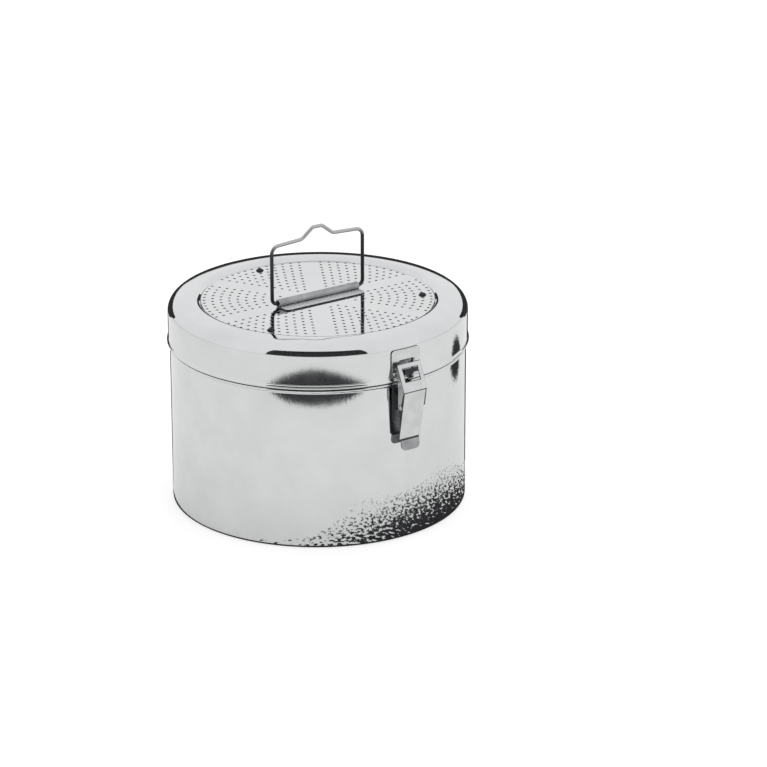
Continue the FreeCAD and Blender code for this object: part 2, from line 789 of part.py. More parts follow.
def latch_link():
    """The window plate that hooks over the catch, with an arm down each side of the lever."""
    body = new_body("latch_link")
    front = outline(
        sketch_on(body, "FrontSection", "YZ_Plane"),
        [
            ("-link_foot_out", "link_foot"),
            ("-link_top_out", "link_top"),
            ("-(link_top_out - link_plate)", "link_top"),
            ("-(link_foot_out - link_plate)", "link_foot"),
        ],
    )
    pad(body, "Front", front, f"2 * {LINK_HALF}", midplane=True)
    window = outline(
        sketch_on(body, "WindowOutline", "XZ_Plane"),
        [
            ("-window_half", "window_low"),
            ("window_half", "window_low"),
            ("window_half", "window_top"),
            ("-window_half", "window_top"),
        ],
    )
    cut(body, "Window", window, front=True)
    arm = side_plate(
        body,
        "Arm",
        [
            ("link_top_out + link_steel", "window_top"),
            ("link_foot_out - link_plate / 2", "link_foot"),
            ("joint_out + link_round", "joint_level"),
            ("joint_out - link_round", "joint_level"),
            ("joint_out - link_round", "link_foot"),
            ("link_top_out - link_plate / 2", "window_top - 2 * link_steel"),
        ],
        LINK_INSIDE,
        "link_steel",
    )
    end = side_disc(body, "ArmEnd", "joint_out", "joint_level", "link_round", LINK_INSIDE, "link_steel")
    mirror(body, "BothArms", [arm, end])
    cross_bore(body, "RivetBore", "-joint_out", "joint_level", "link_rivet")
    return body


def bar_along_x(name, out, level, radius, start, length):
    """A round bar square to the side view, from start along +X."""
    bar = doc.addObject("Part::Cylinder", name)
    bind(bar, "Radius", radius)
    bind(bar, "Height", length)
    bar.Placement.Rotation = FreeCAD.Rotation(FreeCAD.Vector(0, 1, 0), 90)
    bind(bar, "Placement.Base.x", start)
    bind(bar, "Placement.Base.y", out)
    bind(bar, "Placement.Base.z", level)
    return bar


def link_rivets():
    """Two short rivets, one on each side, on which the link turns in the lever."""
    pieces = []
    inner = f"({LEVER_HALF} - lever_steel)"
    long = f"{LINK_HALF} - {inner}"
    for name, stem_start, head_start in (
        ("Right", inner, LINK_HALF),
        ("Left", f"-{LINK_HALF}", f"-({LINK_HALF} + link_head_tall)"),
    ):
        stem = bar_along_x(f"Stem{name}", "-joint_out", "joint_level", "link_rivet", stem_start, long)
        head = bar_along_x(
            f"Head{name}", "-joint_out", "joint_level", "link_rivet_head", head_start, "link_head_tall"
        )
        whole = doc.addObject("Part::Fuse", f"LinkRivet{name}")
        whole.Base, whole.Tool = stem, head
        pieces.append(whole)
    doc.recompute()
    made = doc.addObject("Part::Compound", "link_rivets")
    made.Label = "link_rivets"
    made.Links = pieces
    doc.recompute()
    return made


def lever_pin():
    pin = bar_along_x(
        "lever_pin", "-pivot_out", "pivot_level", "pin_radius", f"-{LEVER_HALF}", f"2 * {LEVER_HALF}"
    )
    pin.Label = "lever_pin"
    doc.recompute()
    return pin


def catch_hook():
    """The catch on the lid's skirt: a curved plate with a nose that the link drops over."""
    body = new_body("catch_hook")
    seat = f"{SKIRT_OUT} + weld_gap"
    curved_plate(body, "-", seat, "catch_thick", "catch_low", "catch_top", "catch_width")
    top, half = size("catch_top"), size("catch_width") / 2
    round_edges(
        body,
        "TopCorners",
        "catch_corner",
        lambda mid, long: abs(mid.z - top) < 1e-3 and abs(abs(mid.x) - half) < 0.3 and long < 2,
    )
    slot = outline(
        sketch_on(body, "SlotOutline", "XZ_Plane"),
        [
            ("-hook_half", "hook_floor"),
            ("hook_half", "hook_floor"),
            ("hook_half", "slot_top"),
            ("-hook_half", "slot_top"),
        ],
    )
    cut(body, "Slot", slot, front=True)
    nose = outline(
        sketch_on(body, "NoseSection", "YZ_Plane"),
        [
            (f"-({seat} + catch_thick / 2)", "hook_low"),
            ("-(hook_out - 2 * catch_thick)", "hook_low + catch_thick"),
            ("-hook_out", "hook_low + 2 * catch_thick"),
            ("-hook_out", "hook_floor + hook_lip"),
            ("-(hook_out - catch_thick)", "hook_floor + hook_lip"),
            ("-(hook_out - catch_thick - hook_lip)", "hook_floor"),
            (f"-({seat} + catch_thick / 2)", "hook_floor"),
        ],
    )
    pad(body, "Nose", nose, "2 * hook_half", midplane=True)
    holes = sketch_on(body, "RivetHoles", "XZ_Plane")
    for side in ("-", ""):
        circle(holes, f"{side}catch_rivet_out", CATCH_RIVETS, "rivet_radius")
    cut(body, "Rivets", holes, front=True)
    return body


def hinge_leaf(label, seat, low, top, web, spans, bore, rivet_level):
    """A curved leaf, its knuckles on the hinge line and the webs that carry them."""
    body = new_body(label)
    curved_plate(body, "", seat, "plate_thick", low, top, "2 * hinge_half")
    for index, (start, long) in enumerate(spans):
        sketch = sketch_on(body, f"WebOutline{index}", "YZ_Plane", start)
        outline(sketch, web)
        pad(body, f"Web{index}", sketch, long)
        sketch = sketch_on(body, f"KnuckleOutline{index}", "YZ_Plane", start)
        circle(sketch, "hinge_out", "hinge_level", "knuckle_radius")
        pad(body, f"Knuckle{index}", sketch, long)
    cross_bore(body, "PinBore", "hinge_out", "hinge_level", bore)
    holes = sketch_on(body, "RivetHoles", "XZ_Plane")
    for side in ("-", ""):
        circle(holes, f"{side}leaf_rivet_out", rivet_level, "rivet_radius")
    cut(body, "Rivets", holes)
    return body


def drum_hinge_leaf():
    root = "shell_radius - knuckle_gap / 2"
    top = f"{BEAD_FOOT} - side_gap"
    start = "knuckle_half + knuckle_gap"
    long = "hinge_half - knuckle_half - knuckle_gap"
    return hinge_leaf(
        "drum_hinge_leaf",
        "shell_radius + weld_gap",
        "leaf_low",
        top,
        [
            (root, top),
            ("hinge_out - knuckle_radius", "hinge_level - plate_thick"),
            ("hinge_out", "hinge_level"),
            ("hinge_out", "hinge_level - knuckle_radius"),
            (root, f"{top} - web_tall"),
        ],
        [(start, long), ("-hinge_half", long)],
        "hinge_pin_radius",
        DRUM_LEAF_RIVETS,
    )


def lid_hinge_leaf():
    root = f"{SKIRT_OUT} + plate_thick / 2"
    low = "catch_low"
    return hinge_leaf(
        "lid_hinge_leaf",
        f"{SKIRT_OUT} + weld_gap",
        low,
        "leaf_top",
        [
            (root, f"{low} + web_tall"),
            ("hinge_out + plate_thick", "hinge_level + knuckle_radius - plate_thick / 2"),
            ("hinge_out", "hinge_level"),
            ("hinge_out - knuckle_radius + plate_thick", "hinge_level + plate_thick"),
            (f"{root} + plate_thick", f"{low} + plate_thick / 2"),
            (root, low),
        ],
        [("-knuckle_half", "2 * knuckle_half")],
        "hinge_pin_radius + hinge_play",
        LID_LEAF_RIVETS,
    )


def hinge_pin():
    pin = bar_along_x(
        "hinge_pin", "hinge_out", "hinge_level", "hinge_pin_radius", "-hinge_half", "2 * hinge_half"
    )
    pin.Label = "hinge_pin"
    doc.recompute()
    return pin


def rivets(label, places, wall_inside, plate_face, sign):
    """Rivets along Y through a plate and its wall, each head on the highest line of the plate under it."""
    pieces = []
    for index, (across, level) in enumerate(places):
        off = size(across)
        near = max(abs(off) - size("rivet_head"), 0)
        inside = math.sqrt(size(wall_inside) ** 2 - off**2)
        face = math.sqrt(size(plate_face) ** 2 - near**2)
        for name, radius, start, end in (
            ("Shank", "rivet_radius", inside, face),
            ("Head", "rivet_head", face, face + size("rivet_tall")),
        ):
            bar = doc.addObject("Part::Cylinder", f"{label}{name}{index}")
            bind(bar, "Radius", radius)
            bar.Height = end - start
            bar.Placement = FreeCAD.Placement(
                FreeCAD.Vector(off, sign * start, size(level)),
                FreeCAD.Rotation(FreeCAD.Vector(1, 0, 0), -90 * sign),
            )
            pieces.append(bar)
    doc.recompute()
    pairs = []
    for index in range(0, len(pieces), 2):
        whole = doc.addObject("Part::Fuse", f"{label}Whole{index}")
        whole.Base, whole.Tool = pieces[index], pieces[index + 1]
        pairs.append(whole)
    doc.recompute()
    made = doc.addObject("Part::Compound", label)
    made.Label = label
    made.Links = pairs
    doc.recompute()
    return made


def all_rivets():
    wall, skirt = "shell_radius - steel", SKIRT_IN
    plate = "shell_radius + weld_gap + plate_thick"
    bracket = [("0", "bracket_rivet_low"), ("0", "bracket_rivet_top")]
    drum_leaf = [(f"{side}leaf_rivet_out", DRUM_LEAF_RIVETS) for side in ("-", "")]
    catch = [(f"{side}catch_rivet_out", CATCH_RIVETS) for side in ("-", "")]
    lid_leaf = [(f"{side}leaf_rivet_out", LID_LEAF_RIVETS) for side in ("-", "")]
    return [
        rivets("bracket_rivets", bracket, wall, plate, -1),
        rivets("drum_leaf_rivets", drum_leaf, wall, plate, 1),
        rivets("catch_rivets", catch, skirt, f"{SKIRT_OUT} + weld_gap + catch_thick", -1),
        rivets("lid_leaf_rivets", lid_leaf, skirt, f"{SKIRT_OUT} + weld_gap + plate_thick", 1),
    ]


def main():
    parts = [
        drum_shell(),
        latch_bracket(),
        lever_pin(),
        drum_hinge_leaf(),
        hinge_pin(),
        lid_shell(),
        lid_disc(),
        lid_hinge_leaf(),
        catch_hook(),
        handle_strap(),
        filter_studs(),
        filter_cloth(),
        filter_holder(),
        filter_nuts(),
        handle_bail(),
        latch_lever(),
        latch_link(),
        link_rivets(),
        *all_rivets(),
    ]
    doc.recompute()
    for thing in doc.Objects:
        if {"Invalid", "Error"} & set(thing.State):
            raise RuntimeError(f"{thing.Name}: {thing.State}")
    for part in parts:
        if part.Shape.isNull() or not part.Shape.isValid():
            raise RuntimeError(f"{part.Label} has no valid shape")
    os.makedirs("parts", exist_ok=True)
    for part in parts:
        part.Shape.exportStep(os.path.join("parts", f"{part.Label}.step"))
        print(part.Label, len(part.Shape.Solids), round(part.Shape.Volume, 1))


main()
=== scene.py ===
import math

import bmesh
import bpy
from bmesh.types import BMEdge, BMVert
from bpy.props import FloatProperty, FloatVectorProperty, IntProperty, PointerProperty
from bpy.types import Operator, Panel, PropertyGroup
from mathutils import Matrix, Vector


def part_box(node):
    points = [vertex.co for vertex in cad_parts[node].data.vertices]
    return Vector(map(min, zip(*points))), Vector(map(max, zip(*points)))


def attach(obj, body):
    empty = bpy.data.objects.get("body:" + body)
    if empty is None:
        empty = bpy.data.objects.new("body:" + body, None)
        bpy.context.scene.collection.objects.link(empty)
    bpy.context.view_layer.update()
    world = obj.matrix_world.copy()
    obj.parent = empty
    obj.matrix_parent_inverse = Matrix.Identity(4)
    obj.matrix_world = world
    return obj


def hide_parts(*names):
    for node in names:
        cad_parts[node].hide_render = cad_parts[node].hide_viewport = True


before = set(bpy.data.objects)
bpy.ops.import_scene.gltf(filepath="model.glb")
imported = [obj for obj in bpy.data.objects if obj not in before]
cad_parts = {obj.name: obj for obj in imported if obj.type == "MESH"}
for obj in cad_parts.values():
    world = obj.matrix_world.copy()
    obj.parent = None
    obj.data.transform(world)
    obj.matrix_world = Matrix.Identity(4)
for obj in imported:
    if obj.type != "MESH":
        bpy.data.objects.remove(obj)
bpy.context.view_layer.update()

bl_info = {
    "name": "Sterilizing Drum",
    "version": (1, 0, 0),
    "blender": (4, 5, 0),
    "location": "View3D > Sidebar > Drum",
    "description": "Dresses a round steel sterilizing drum with a perforated lid and a toggle latch",
    "category": "Object",
}

MM = 0.001
FULL_TURN = 2 * math.pi
QUARTER_TURN = math.pi / 2
Z_AXIS = Vector((0, 0, 1))
ORIGIN = Vector((0, 0, 0))
# how near two places count as the same
SAME = 1e-6
SHELL_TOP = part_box("drum_shell")[1]
LID_LOW, LID_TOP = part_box("lid_shell")
DISC_LOW, DISC_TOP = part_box("lid_disc")
BAIL_LOW, BAIL_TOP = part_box("handle_bail")
STRAP_LOW, STRAP_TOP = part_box("handle_strap")
# radius of a stud's head
STUD_HEAD = 3.3 * MM
CARD_BLACK = "#3A3A3C"
# cards on the floor lie this high, which is below the inside of the drum's base
CARD_LIFT = 0.3 * MM


def srgb(code):
    """A hex colour as the linear values that shaders take."""
    parts = [int(code[at : at + 2], 16) / 255 for at in (1, 3, 5)]
    return [part / 12.92 if part <= 0.04045 else ((part + 0.055) / 1.055) ** 2.4 for part in parts]


class DrumSizes(PropertyGroup):
    """Sizes of the drum and its lid, in metres."""

    sheet: FloatProperty(
        name="Sheet", description="Thickness of the drawn sheet", default=0.9 * MM, unit="LENGTH"
    )
    hole: FloatProperty(
        name="Hole", description="Diameter of a punched hole", default=2.4 * MM, unit="LENGTH"
    )
    hole_pitch: FloatProperty(
        name="Hole pitch", description="From hole to hole along an arc", default=7.1 * MM, unit="LENGTH"
    )
    plain_strip: FloatProperty(
        name="Plain strip",
        description="Between the holes of two sectors",
        default=17.92 * MM,
        unit="LENGTH",
    )
    sectors: IntProperty(name="Sectors", description="Sectors of the perforation", default=6)
    longest_arc: IntProperty(name="Longest arc", description="Holes in a sector's last arc", default=12)
    shoulder: FloatProperty(
        name="Shoulder",
        description="Turn between the lid's top and skirt",
        default=8 * MM,
        unit="LENGTH",
    )
    crown: FloatProperty(
        name="Crown", description="Radius of the rim's highest line", default=106 * MM, unit="LENGTH"
    )
    fall: FloatProperty(
        name="Fall",
        description="How far the rim falls from its crown to the shoulder",
        default=2.4 * MM,
        unit="LENGTH",
    )
    recess: FloatProperty(
        name="Recess", description="Radius where the lid turns down", default=97.7 * MM, unit="LENGTH"
    )
    smoothness: IntProperty(
        name="Smoothness", description="Steps in a full turn of a shell", default=216
    )


class DrumFinish(PropertyGroup):
    """Colours and gloss of the drum's metals and cloth."""

    polished: FloatVectorProperty(
        name="Polished sheet",
        description="Colour of the shells and of the handle's satin flange",
        subtype="COLOR",
        default=srgb("#D9DADB"),
    )
    pressed: FloatVectorProperty(
        name="Pressed sheet",
        description="Colour of the latch, the hinge and the filter's holder",
        subtype="COLOR",
        default=srgb("#D3D4D5"),
    )
    wire: FloatVectorProperty(
        name="Wire",
        description="Colour of the handle's wire",
        subtype="COLOR",
        default=srgb("#48494C"),
    )
    # colour that the wire turns to towards the top of the handle
    wire_top: FloatVectorProperty(
        name="Grip",
        description="Colour of the wire where hands polish it",
        subtype="COLOR",
        default=srgb("#B4B5B7"),
    )
    ground: FloatVectorProperty(
        name="Ground sheet",
        description="Colour of the handle's barrel and the lever's tongue",
        subtype="COLOR",
        default=srgb("#AFB0B2"),
    )
    # dark: dull cut edges, and painted shade in gaps, creases, holes, flanks and hollows
    raw: FloatVectorProperty(
        name="Raw edges",
        description="Colour of cut edges and flanks",
        subtype="COLOR",
        default=srgb("#4E4F52"),
    )
    turned: FloatVectorProperty(
        name="Turned steel",
        description="Colour of nuts, rivets and pins",
        subtype="COLOR",
        default=srgb("#B9BABC"),
    )
    stud: FloatVectorProperty(
        name="Stud heads",
        description="Colour of the dark studs",
        subtype="COLOR",
        default=srgb("#3C3C3F"),
    )
    cloth: FloatVectorProperty(
        name="Cloth",
        description="Colour of the filter",
        subtype="COLOR",
        default=srgb("#E4E2DA"),
    )
    gloss: FloatProperty(
        name="Roughness", description="Mean roughness of the polish", default=0.045, min=0.02, max=0.6
    )


class StudioView(PropertyGroup):
    """The camera: where it looks from, and how far it stands off."""

    azimuth: FloatProperty(
        name="Azimuth",
        description="Turn of the camera round the drum, from its front",
        default=math.radians(-35.4),
        subtype="ANGLE",
    )
    elevation: FloatProperty(
        name="Elevation",
        description="Height of the camera over the horizon",
        default=math.radians(20.6),
        subtype="ANGLE",
    )
    distance: FloatProperty(
        name="Distance", description="From the camera to the view's middle", default=2.7, unit="LENGTH"
    )
    lens: FloatProperty(
        name="Lens", description="Focal length in millimetres", default=155.6, unit="CAMERA"
    )
    aim_right: FloatProperty(
        name="Aim right",
        description="How far the view's middle lies beside the drum",
        default=53 * MM,
        unit="LENGTH",
    )
    aim_up: FloatProperty(
        name="Aim up", description="Height of the view's middle", default=94 * MM, unit="LENGTH"
    )


def add(tree, kind, values=None, links=None, **settings):
    """Adds a node with its settings, its socket values and its incoming links."""
    made = tree.nodes.new(kind)
    for name, value in settings.items():
        setattr(made, name, value)
    for key, value in (values or {}).items():
        made.inputs[key].default_value = value
    for key, socket in (links or {}).items():
        tree.links.new(socket, made.inputs[key])
    return made


def new_material(name):
    """An empty node material and its tree, or None for the tree if it is there already."""
    found = bpy.data.materials.get(name)
    if found:
        return found, None
    made = bpy.data.materials.new(name)
    made.use_nodes = True
    made.node_tree.nodes.clear()
    return made, made.node_tree


def polished_sheet():
    """Stainless sheet, drawn and polished on a lathe: a mirror with faint rings, a little uneven."""
    made, tree = new_material("lathe_polished_stainless")
    if tree is None:
        return made
    finish = bpy.context.scene.drum_finish
    place = add(tree, "ShaderNodeTexCoord").outputs["Object"]
    flat = add(tree, "ShaderNodeVectorMath", {1: (1, 1, 0)}, {0: place}, operation="MULTIPLY")
    out = add(tree, "ShaderNodeVectorMath", links={0: flat.outputs["Vector"]}, operation="LENGTH")
    parts = add(tree, "ShaderNodeSeparateXYZ", links={0: place})
    turned = add(
        tree, "ShaderNodeCombineXYZ", links={"X": out.outputs["Value"], "Z": parts.outputs["Z"]}
    )
    # polishing rings, drawn coarser than real ones so that they show
    ring_pitch = 0.8 * MM
    rings = add(
        tree,
        "ShaderNodeTexNoise",
        {"Scale": 1 / ring_pitch, "Detail": 2.0, "Roughness": 0.6},
        {"Vector": turned.outputs["Vector"]},
    )
    # clouds from wiping and handling
    cloud_size = 30 * MM
    clouds = add(
        tree,
        "ShaderNodeTexNoise",
        {"Scale": 1 / cloud_size, "Detail": 4.0, "Roughness": 0.6},
        {"Vector": place},
    )
    # the drawn sheet is out of true in long waves
    wave_length = 50 * MM
    waves = add(
        tree, "ShaderNodeTexNoise", {"Scale": 1 / wave_length, "Detail": 1.0}, {"Vector": place}
    )
    tone = add(
        tree,
        "ShaderNodeMapRange",
        {"From Min": 0.3, "From Max": 0.7, "To Min": 0.92, "To Max": 1.0},
        {"Value": clouds.outputs["Fac"]},
    )
    colour = add(
        tree,
        "ShaderNodeVectorMath",
        {0: finish.polished[:]},
        {"Scale": tone.outputs["Result"]},
        operation="SCALE",
    )
    rough = add(
        tree,
        "ShaderNodeMapRange",
        {"From Min": 0.3, "From Max": 0.7, "To Min": finish.gloss * 0.75, "To Max": finish.gloss * 1.4},
        {"Value": clouds.outputs["Fac"]},
    )
    uneven = add(
        tree,
        "ShaderNodeBump",
        {"Strength": 1.0, "Distance": 0.12 * MM},
        {"Height": waves.outputs["Fac"]},
    )
    bump = add(
        tree,
        "ShaderNodeBump",
        {"Strength": 0.25, "Distance": 0.004 * MM},
        {"Height": rings.outputs["Fac"], "Normal": uneven.outputs["Normal"]},
    )
    surface = add(
        tree,
        "ShaderNodeBsdfPrincipled",
        {"Metallic": 1.0},
        {
            "Base Color": colour.outputs["Vector"],
            "Roughness": rough.outputs["Result"],
            "Normal": bump.outputs["Normal"],
        },
    )
    add(tree, "ShaderNodeOutputMaterial", links={"Surface": surface.outputs["BSDF"]})
    return made


def worked_metal(name, colour, rough, grain, wear):
    """Stainless that was pressed, ground, drawn or turned: a fine grain, and wear in darker spots."""
    made, tree = new_material(name)
    if tree is None:
        return made
    place = add(tree, "ShaderNodeTexCoord").outputs["Object"]
    fine = add(
        tree,
        "ShaderNodeTexNoise",
        {"Scale": 1 / grain, "Detail": 3.0, "Roughness": 0.6},
        {"Vector": place},
    )
    # wear comes in spots as wide as a fingertip
    spot_size = 9 * MM
    broad = add(tree, "ShaderNodeTexNoise", {"Scale": 1 / spot_size, "Detail": 3.0}, {"Vector": place})
    tone = add(
        tree,
        "ShaderNodeMapRange",
        {"From Min": 0.35, "From Max": 0.7, "To Min": 1.0 - wear, "To Max": 1.0},
        {"Value": broad.outputs["Fac"]},
    )
    shade = add(
        tree,
        "ShaderNodeVectorMath",
        {0: colour[:]},
        {"Scale": tone.outputs["Result"]},
        operation="SCALE",
    )
    polish = add(
        tree,
        "ShaderNodeMapRange",
        {"From Min": 0.3, "From Max": 0.7, "To Min": rough * 0.8, "To Max": rough * 1.3},
        {"Value": fine.outputs["Fac"]},
    )
    bump = add(
        tree,
        "ShaderNodeBump",
        {"Strength": 0.3, "Distance": 0.01 * MM},
        {"Height": fine.outputs["Fac"]},
    )
    surface = add(
        tree,
        "ShaderNodeBsdfPrincipled",
        {"Metallic": 1.0},
        {
            "Base Color": shade.outputs["Vector"],
            "Roughness": polish.outputs["Result"],
            "Normal": bump.outputs["Normal"],
        },
    )
    add(tree, "ShaderNodeOutputMaterial", links={"Surface": surface.outputs["BSDF"]})
    return made


def pressed_sheet():
    """Stainless sheet from a press, tumbled bright: the latch, the hinge and the filter's holder."""
    finish = bpy.context.scene.drum_finish
    return worked_metal("pressed_stainless", finish.pressed, rough=0.22, grain=0.5 * MM, wear=0.12)


def satin_sheet():
    """Stainless sheet brushed to a satin, pale without a mirror: the handle's flange."""
    finish = bpy.context.scene.drum_finish
    return worked_metal("satin_stainless", finish.polished, rough=0.55, grain=0.4 * MM, wear=0.06)


def ground_sheet():
    """Stainless sheet that was ground, a soft grey: the handle's barrel and the lever's tongue."""
    finish = bpy.context.scene.drum_finish
    return worked_metal("ground_stainless", finish.ground, rough=0.36, grain=0.5 * MM, wear=0.3)


def raw_and_shaded_sheet():
    """Dull cut edges of stainless sheet, dark enough to serve as painted shade in gaps, creases, holes,
    flanks and hollows.
    """
    finish = bpy.context.scene.drum_finish
    return worked_metal("unpolished_stainless_and_painted_shade", finish.raw, rough=0.45, grain=0.5 * MM, wear=0.4)


def turned_steel():
    """Turned stainless bar, with the sheen that a lathe tool leaves: the nuts, rivets and pins."""
    finish = bpy.context.scene.drum_finish
    return worked_metal("turned_stainless", finish.turned, rough=0.25, grain=0.3 * MM, wear=0.15)


def burnt_stud():
    """Stud heads darkened by welding heat, a dull near-black."""
    finish = bpy.context.scene.drum_finish
    return worked_metal("heat_darkened_steel", finish.stud, rough=0.42, grain=0.4 * MM, wear=0.3)


def drawn_wire():
    """Drawn stainless wire, dark, and lighter towards the top of the handle."""
    finish = bpy.context.scene.drum_finish
    name = "drawn_stainless_wire"
    known = name in bpy.data.materials
    made = worked_metal(name, finish.wire, rough=0.3, grain=0.4 * MM, wear=0.25)
    if known:
        return made
    tree = made.node_tree
    surface = next(node for node in tree.nodes if node.type == "BSDF_PRINCIPLED")
    dark = surface.inputs["Base Color"].links[0].from_socket
    place = add(tree, "ShaderNodeTexCoord").outputs["Object"]
    height = add(tree, "ShaderNodeSeparateXYZ", links={0: place}).outputs["Z"]
    # the wire lightens between these heights, towards the top of the handle
    dark_up_to, bright_from = BAIL_TOP.z - 17 * MM, BAIL_TOP.z - 10 * MM
    toward_top = add(
        tree,
        "ShaderNodeMapRange",
        {"From Min": dark_up_to, "From Max": bright_from},
        {"Value": height},
    )
    mixed = add(
        tree,
        "ShaderNodeMix",
        {"B": (*finish.wire_top, 1)},
        {"Factor": toward_top.outputs["Result"], "A": dark},
        data_type="RGBA",
    )
    tree.links.new(mixed.outputs["Result"], surface.inputs["Base Color"])
    return made


def filter_textile():
    """Plain-woven cotton filter cloth: two crossing sets of threads, matt, with slight slubs."""
    made, tree = new_material("woven_filter_cotton")
    if tree is None:
        return made
    finish = bpy.context.scene.drum_finish
    place = add(tree, "ShaderNodeTexCoord").outputs["Object"]
    # threads coarser than the real weave, so that they show; the wave draws 20 bands in 2 pi
    thread = 0.79 * MM
    bands = {"Scale": FULL_TURN / 20 / thread, "Distortion": 0.6}
    warp = add(tree, "ShaderNodeTexWave", bands, {"Vector": place})
    weft = add(tree, "ShaderNodeTexWave", bands, {"Vector": place}, bands_direction="Y")
    weave = add(
        tree,
        "ShaderNodeMath",
        links={0: warp.outputs["Fac"], 1: weft.outputs["Fac"]},
        operation="MAXIMUM",
    )
    slub_length = 6 * MM
    slubs = add(
        tree, "ShaderNodeTexNoise", {"Scale": 1 / slub_length, "Detail": 3.0}, {"Vector": place}
    )
    tone = add(
        tree,
        "ShaderNodeMapRange",
        {"From Min": 0.2, "From Max": 0.8, "To Min": 0.88, "To Max": 1.0},
        {"Value": slubs.outputs["Fac"]},
    )
    colour = add(
        tree,
        "ShaderNodeVectorMath",
        {0: finish.cloth[:]},
        {"Scale": tone.outputs["Result"]},
        operation="SCALE",
    )
    bump = add(
        tree,
        "ShaderNodeBump",
        {"Strength": 0.6, "Distance": 0.15 * MM},
        {"Height": weave.outputs["Value"]},
    )
    surface = add(
        tree,
        "ShaderNodeBsdfPrincipled",
        {"Roughness": 0.92, "Sheen Weight": 0.25, "Sheen Roughness": 0.5},
        {"Base Color": colour.outputs["Vector"], "Normal": bump.outputs["Normal"]},
    )
    add(tree, "ShaderNodeOutputMaterial", links={"Surface": surface.outputs["BSDF"]})
    return made


def finished(name, bm, materials, body, nodes, weighted=True):
    """Makes the mesh an object that rides on its body and stands for its nodes."""
    mesh = bpy.data.meshes.new(name)
    bm.to_mesh(mesh)
    bm.free()
    for material in materials:
        mesh.materials.append(material)
    mesh.shade_smooth()
    mesh.set_sharp_from_angle(angle=math.radians(35))
    piece = bpy.data.objects.new(name, mesh)
    bpy.context.scene.collection.objects.link(piece)
    if weighted:
        even = piece.modifiers.new("EvenShading", "WEIGHTED_NORMAL")
        even.keep_sharp = True
    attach(piece, body)
    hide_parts(*nodes)
    return piece


def only(geometry, kind):
    """The vertices or the edges among what an operator made."""
    return [part for part in geometry if isinstance(part, kind)]


def outline(bm, corners, segments=6):
    """A face in the XZ plane from corners (x, z, turn); the turn rounds the corner."""
    points = [bm.verts.new((across, 0, up)) for across, up, _ in corners]
    bm.faces.new(points)
    for point, (_, _, turn) in zip(points, corners):
        if turn:
            bmesh.ops.bevel(
                bm,
                geom=[point],
                offset=turn,
                offset_type="OFFSET",
                segments=segments,
                profile=0.5,
                affect="VERTICES",
                material=-1,
            )


def spin_round(bm, steps):
    """Spins all edges once round the Z axis and closes the seam and the poles."""
    bmesh.ops.spin(
        bm,
        geom=bm.verts[:] + bm.edges[:],
        cent=ORIGIN,
        axis=Z_AXIS,
        dvec=ORIGIN,
        angle=FULL_TURN,
        steps=steps,
        use_merge=True,
        use_duplicate=False,
    )
    bmesh.ops.remove_doubles(bm, verts=bm.verts[:], dist=SAME)
    bmesh.ops.recalc_face_normals(bm, faces=bm.faces[:])


def turn_outline(bm, steps):
    """Spins the outline round the Z axis; what of it lies on the axis is left out."""
    bmesh.ops.delete(bm, geom=bm.faces[:], context="FACES_ONLY")
    on_axis = [edge for edge in bm.edges if all(abs(vert.co.x) < SAME for vert in edge.verts)]
    bmesh.ops.delete(bm, geom=on_axis, context="EDGES")
    spin_round(bm, steps)


def extrude_outline(bm, vector):
    """Extrudes every face of the mesh along the vector and closes the solid."""
    made = bmesh.ops.extrude_face_region(bm, geom=bm.faces[:], use_keep_orig=True)["geom"]
    bmesh.ops.translate(bm, verts=only(made, BMVert), vec=vector)
    bmesh.ops.recalc_face_normals(bm, faces=bm.faces[:])


def bevel_edges(bm, edges, width, segments):
    """Rounds the edges by the given width."""
    bmesh.ops.bevel(
        bm,
        geom=edges,
        offset=width,
        offset_type="OFFSET",
        segments=segments,
        profile=0.5,
        affect="EDGES",
        clamp_overlap=True,
        material=-1,
    )


def sharper_than(bm, degrees):
    """The edges between two faces that meet at more than this angle."""
    limit = math.radians(degrees)
    return [edge for edge in bm.edges if len(edge.link_faces) == 2 and edge.calc_face_angle(0) > limit]


def softened_copy(node, width):
    """A copy of a construction part, made of whole faces again, with its sharp edges broken."""
    flat_within, sharp_from = 2, 38
    bm = bmesh.new()
    bm.from_mesh(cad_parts[node].data)
    bmesh.ops.remove_doubles(bm, verts=bm.verts[:], dist=2 * SAME)
    bmesh.ops.dissolve_limit(
        bm,
        angle_limit=math.radians(flat_within),
        use_dissolve_boundaries=False,
        verts=bm.verts[:],
        edges=bm.edges[:],
    )
    bevel_edges(bm, sharper_than(bm, sharp_from), width, 2)
    return bm


def rod(bm, radius, length, place):
    """A closed round rod along its own Z axis."""
    bmesh.ops.create_cone(
        bm,
        cap_ends=True,
        cap_tris=False,
        segments=24,
        radius1=radius,
        radius2=radius,
        depth=length,
        matrix=place,
    )


def dome(bm, crown, out, head, tall, around=28, rings=36):
    """The head of a rivet or stud: a spherical cap, closed below, with its crown at a point."""
    ball = (head * head + tall * tall) / (2 * tall)
    turn = Z_AXIS.rotation_difference(out).to_matrix().to_4x4()
    made = bmesh.ops.create_uvsphere(
        bm,
        u_segments=around,
        v_segments=rings,
        radius=ball,
        matrix=Matrix.Translation(crown - out * ball) @ turn,
    )["verts"]
    edges = {edge for vert in made for edge in vert.link_edges}
    faces = {face for vert in made for face in vert.link_faces}
    cut = bmesh.ops.bisect_plane(
        bm,
        geom=made + list(edges | faces),
        dist=SAME,
        plane_co=crown - out * tall,
        plane_no=out,
        clear_inner=True,
    )["geom_cut"]
    bmesh.ops.holes_fill(bm, edges=only(cut, BMEdge), sides=64)
    bmesh.ops.recalc_face_normals(bm, faces=bm.faces[:])


def stain(bm, wanted, index=1):
    """Gives the faces that the test accepts another of the piece's materials."""
    bm.normal_update()
    for face in bm.faces:
        if wanted(face):
            face.material_index = index


def height_of(face):
    """Height of the face's middle over the floor."""
    return face.calc_center_median().z


def is_cut_edge(face):
    """Whether a face is about as narrow as the sheet is thick."""
    return 2 * face.calc_area() < 1.3 * MM * face.calc_perimeter()


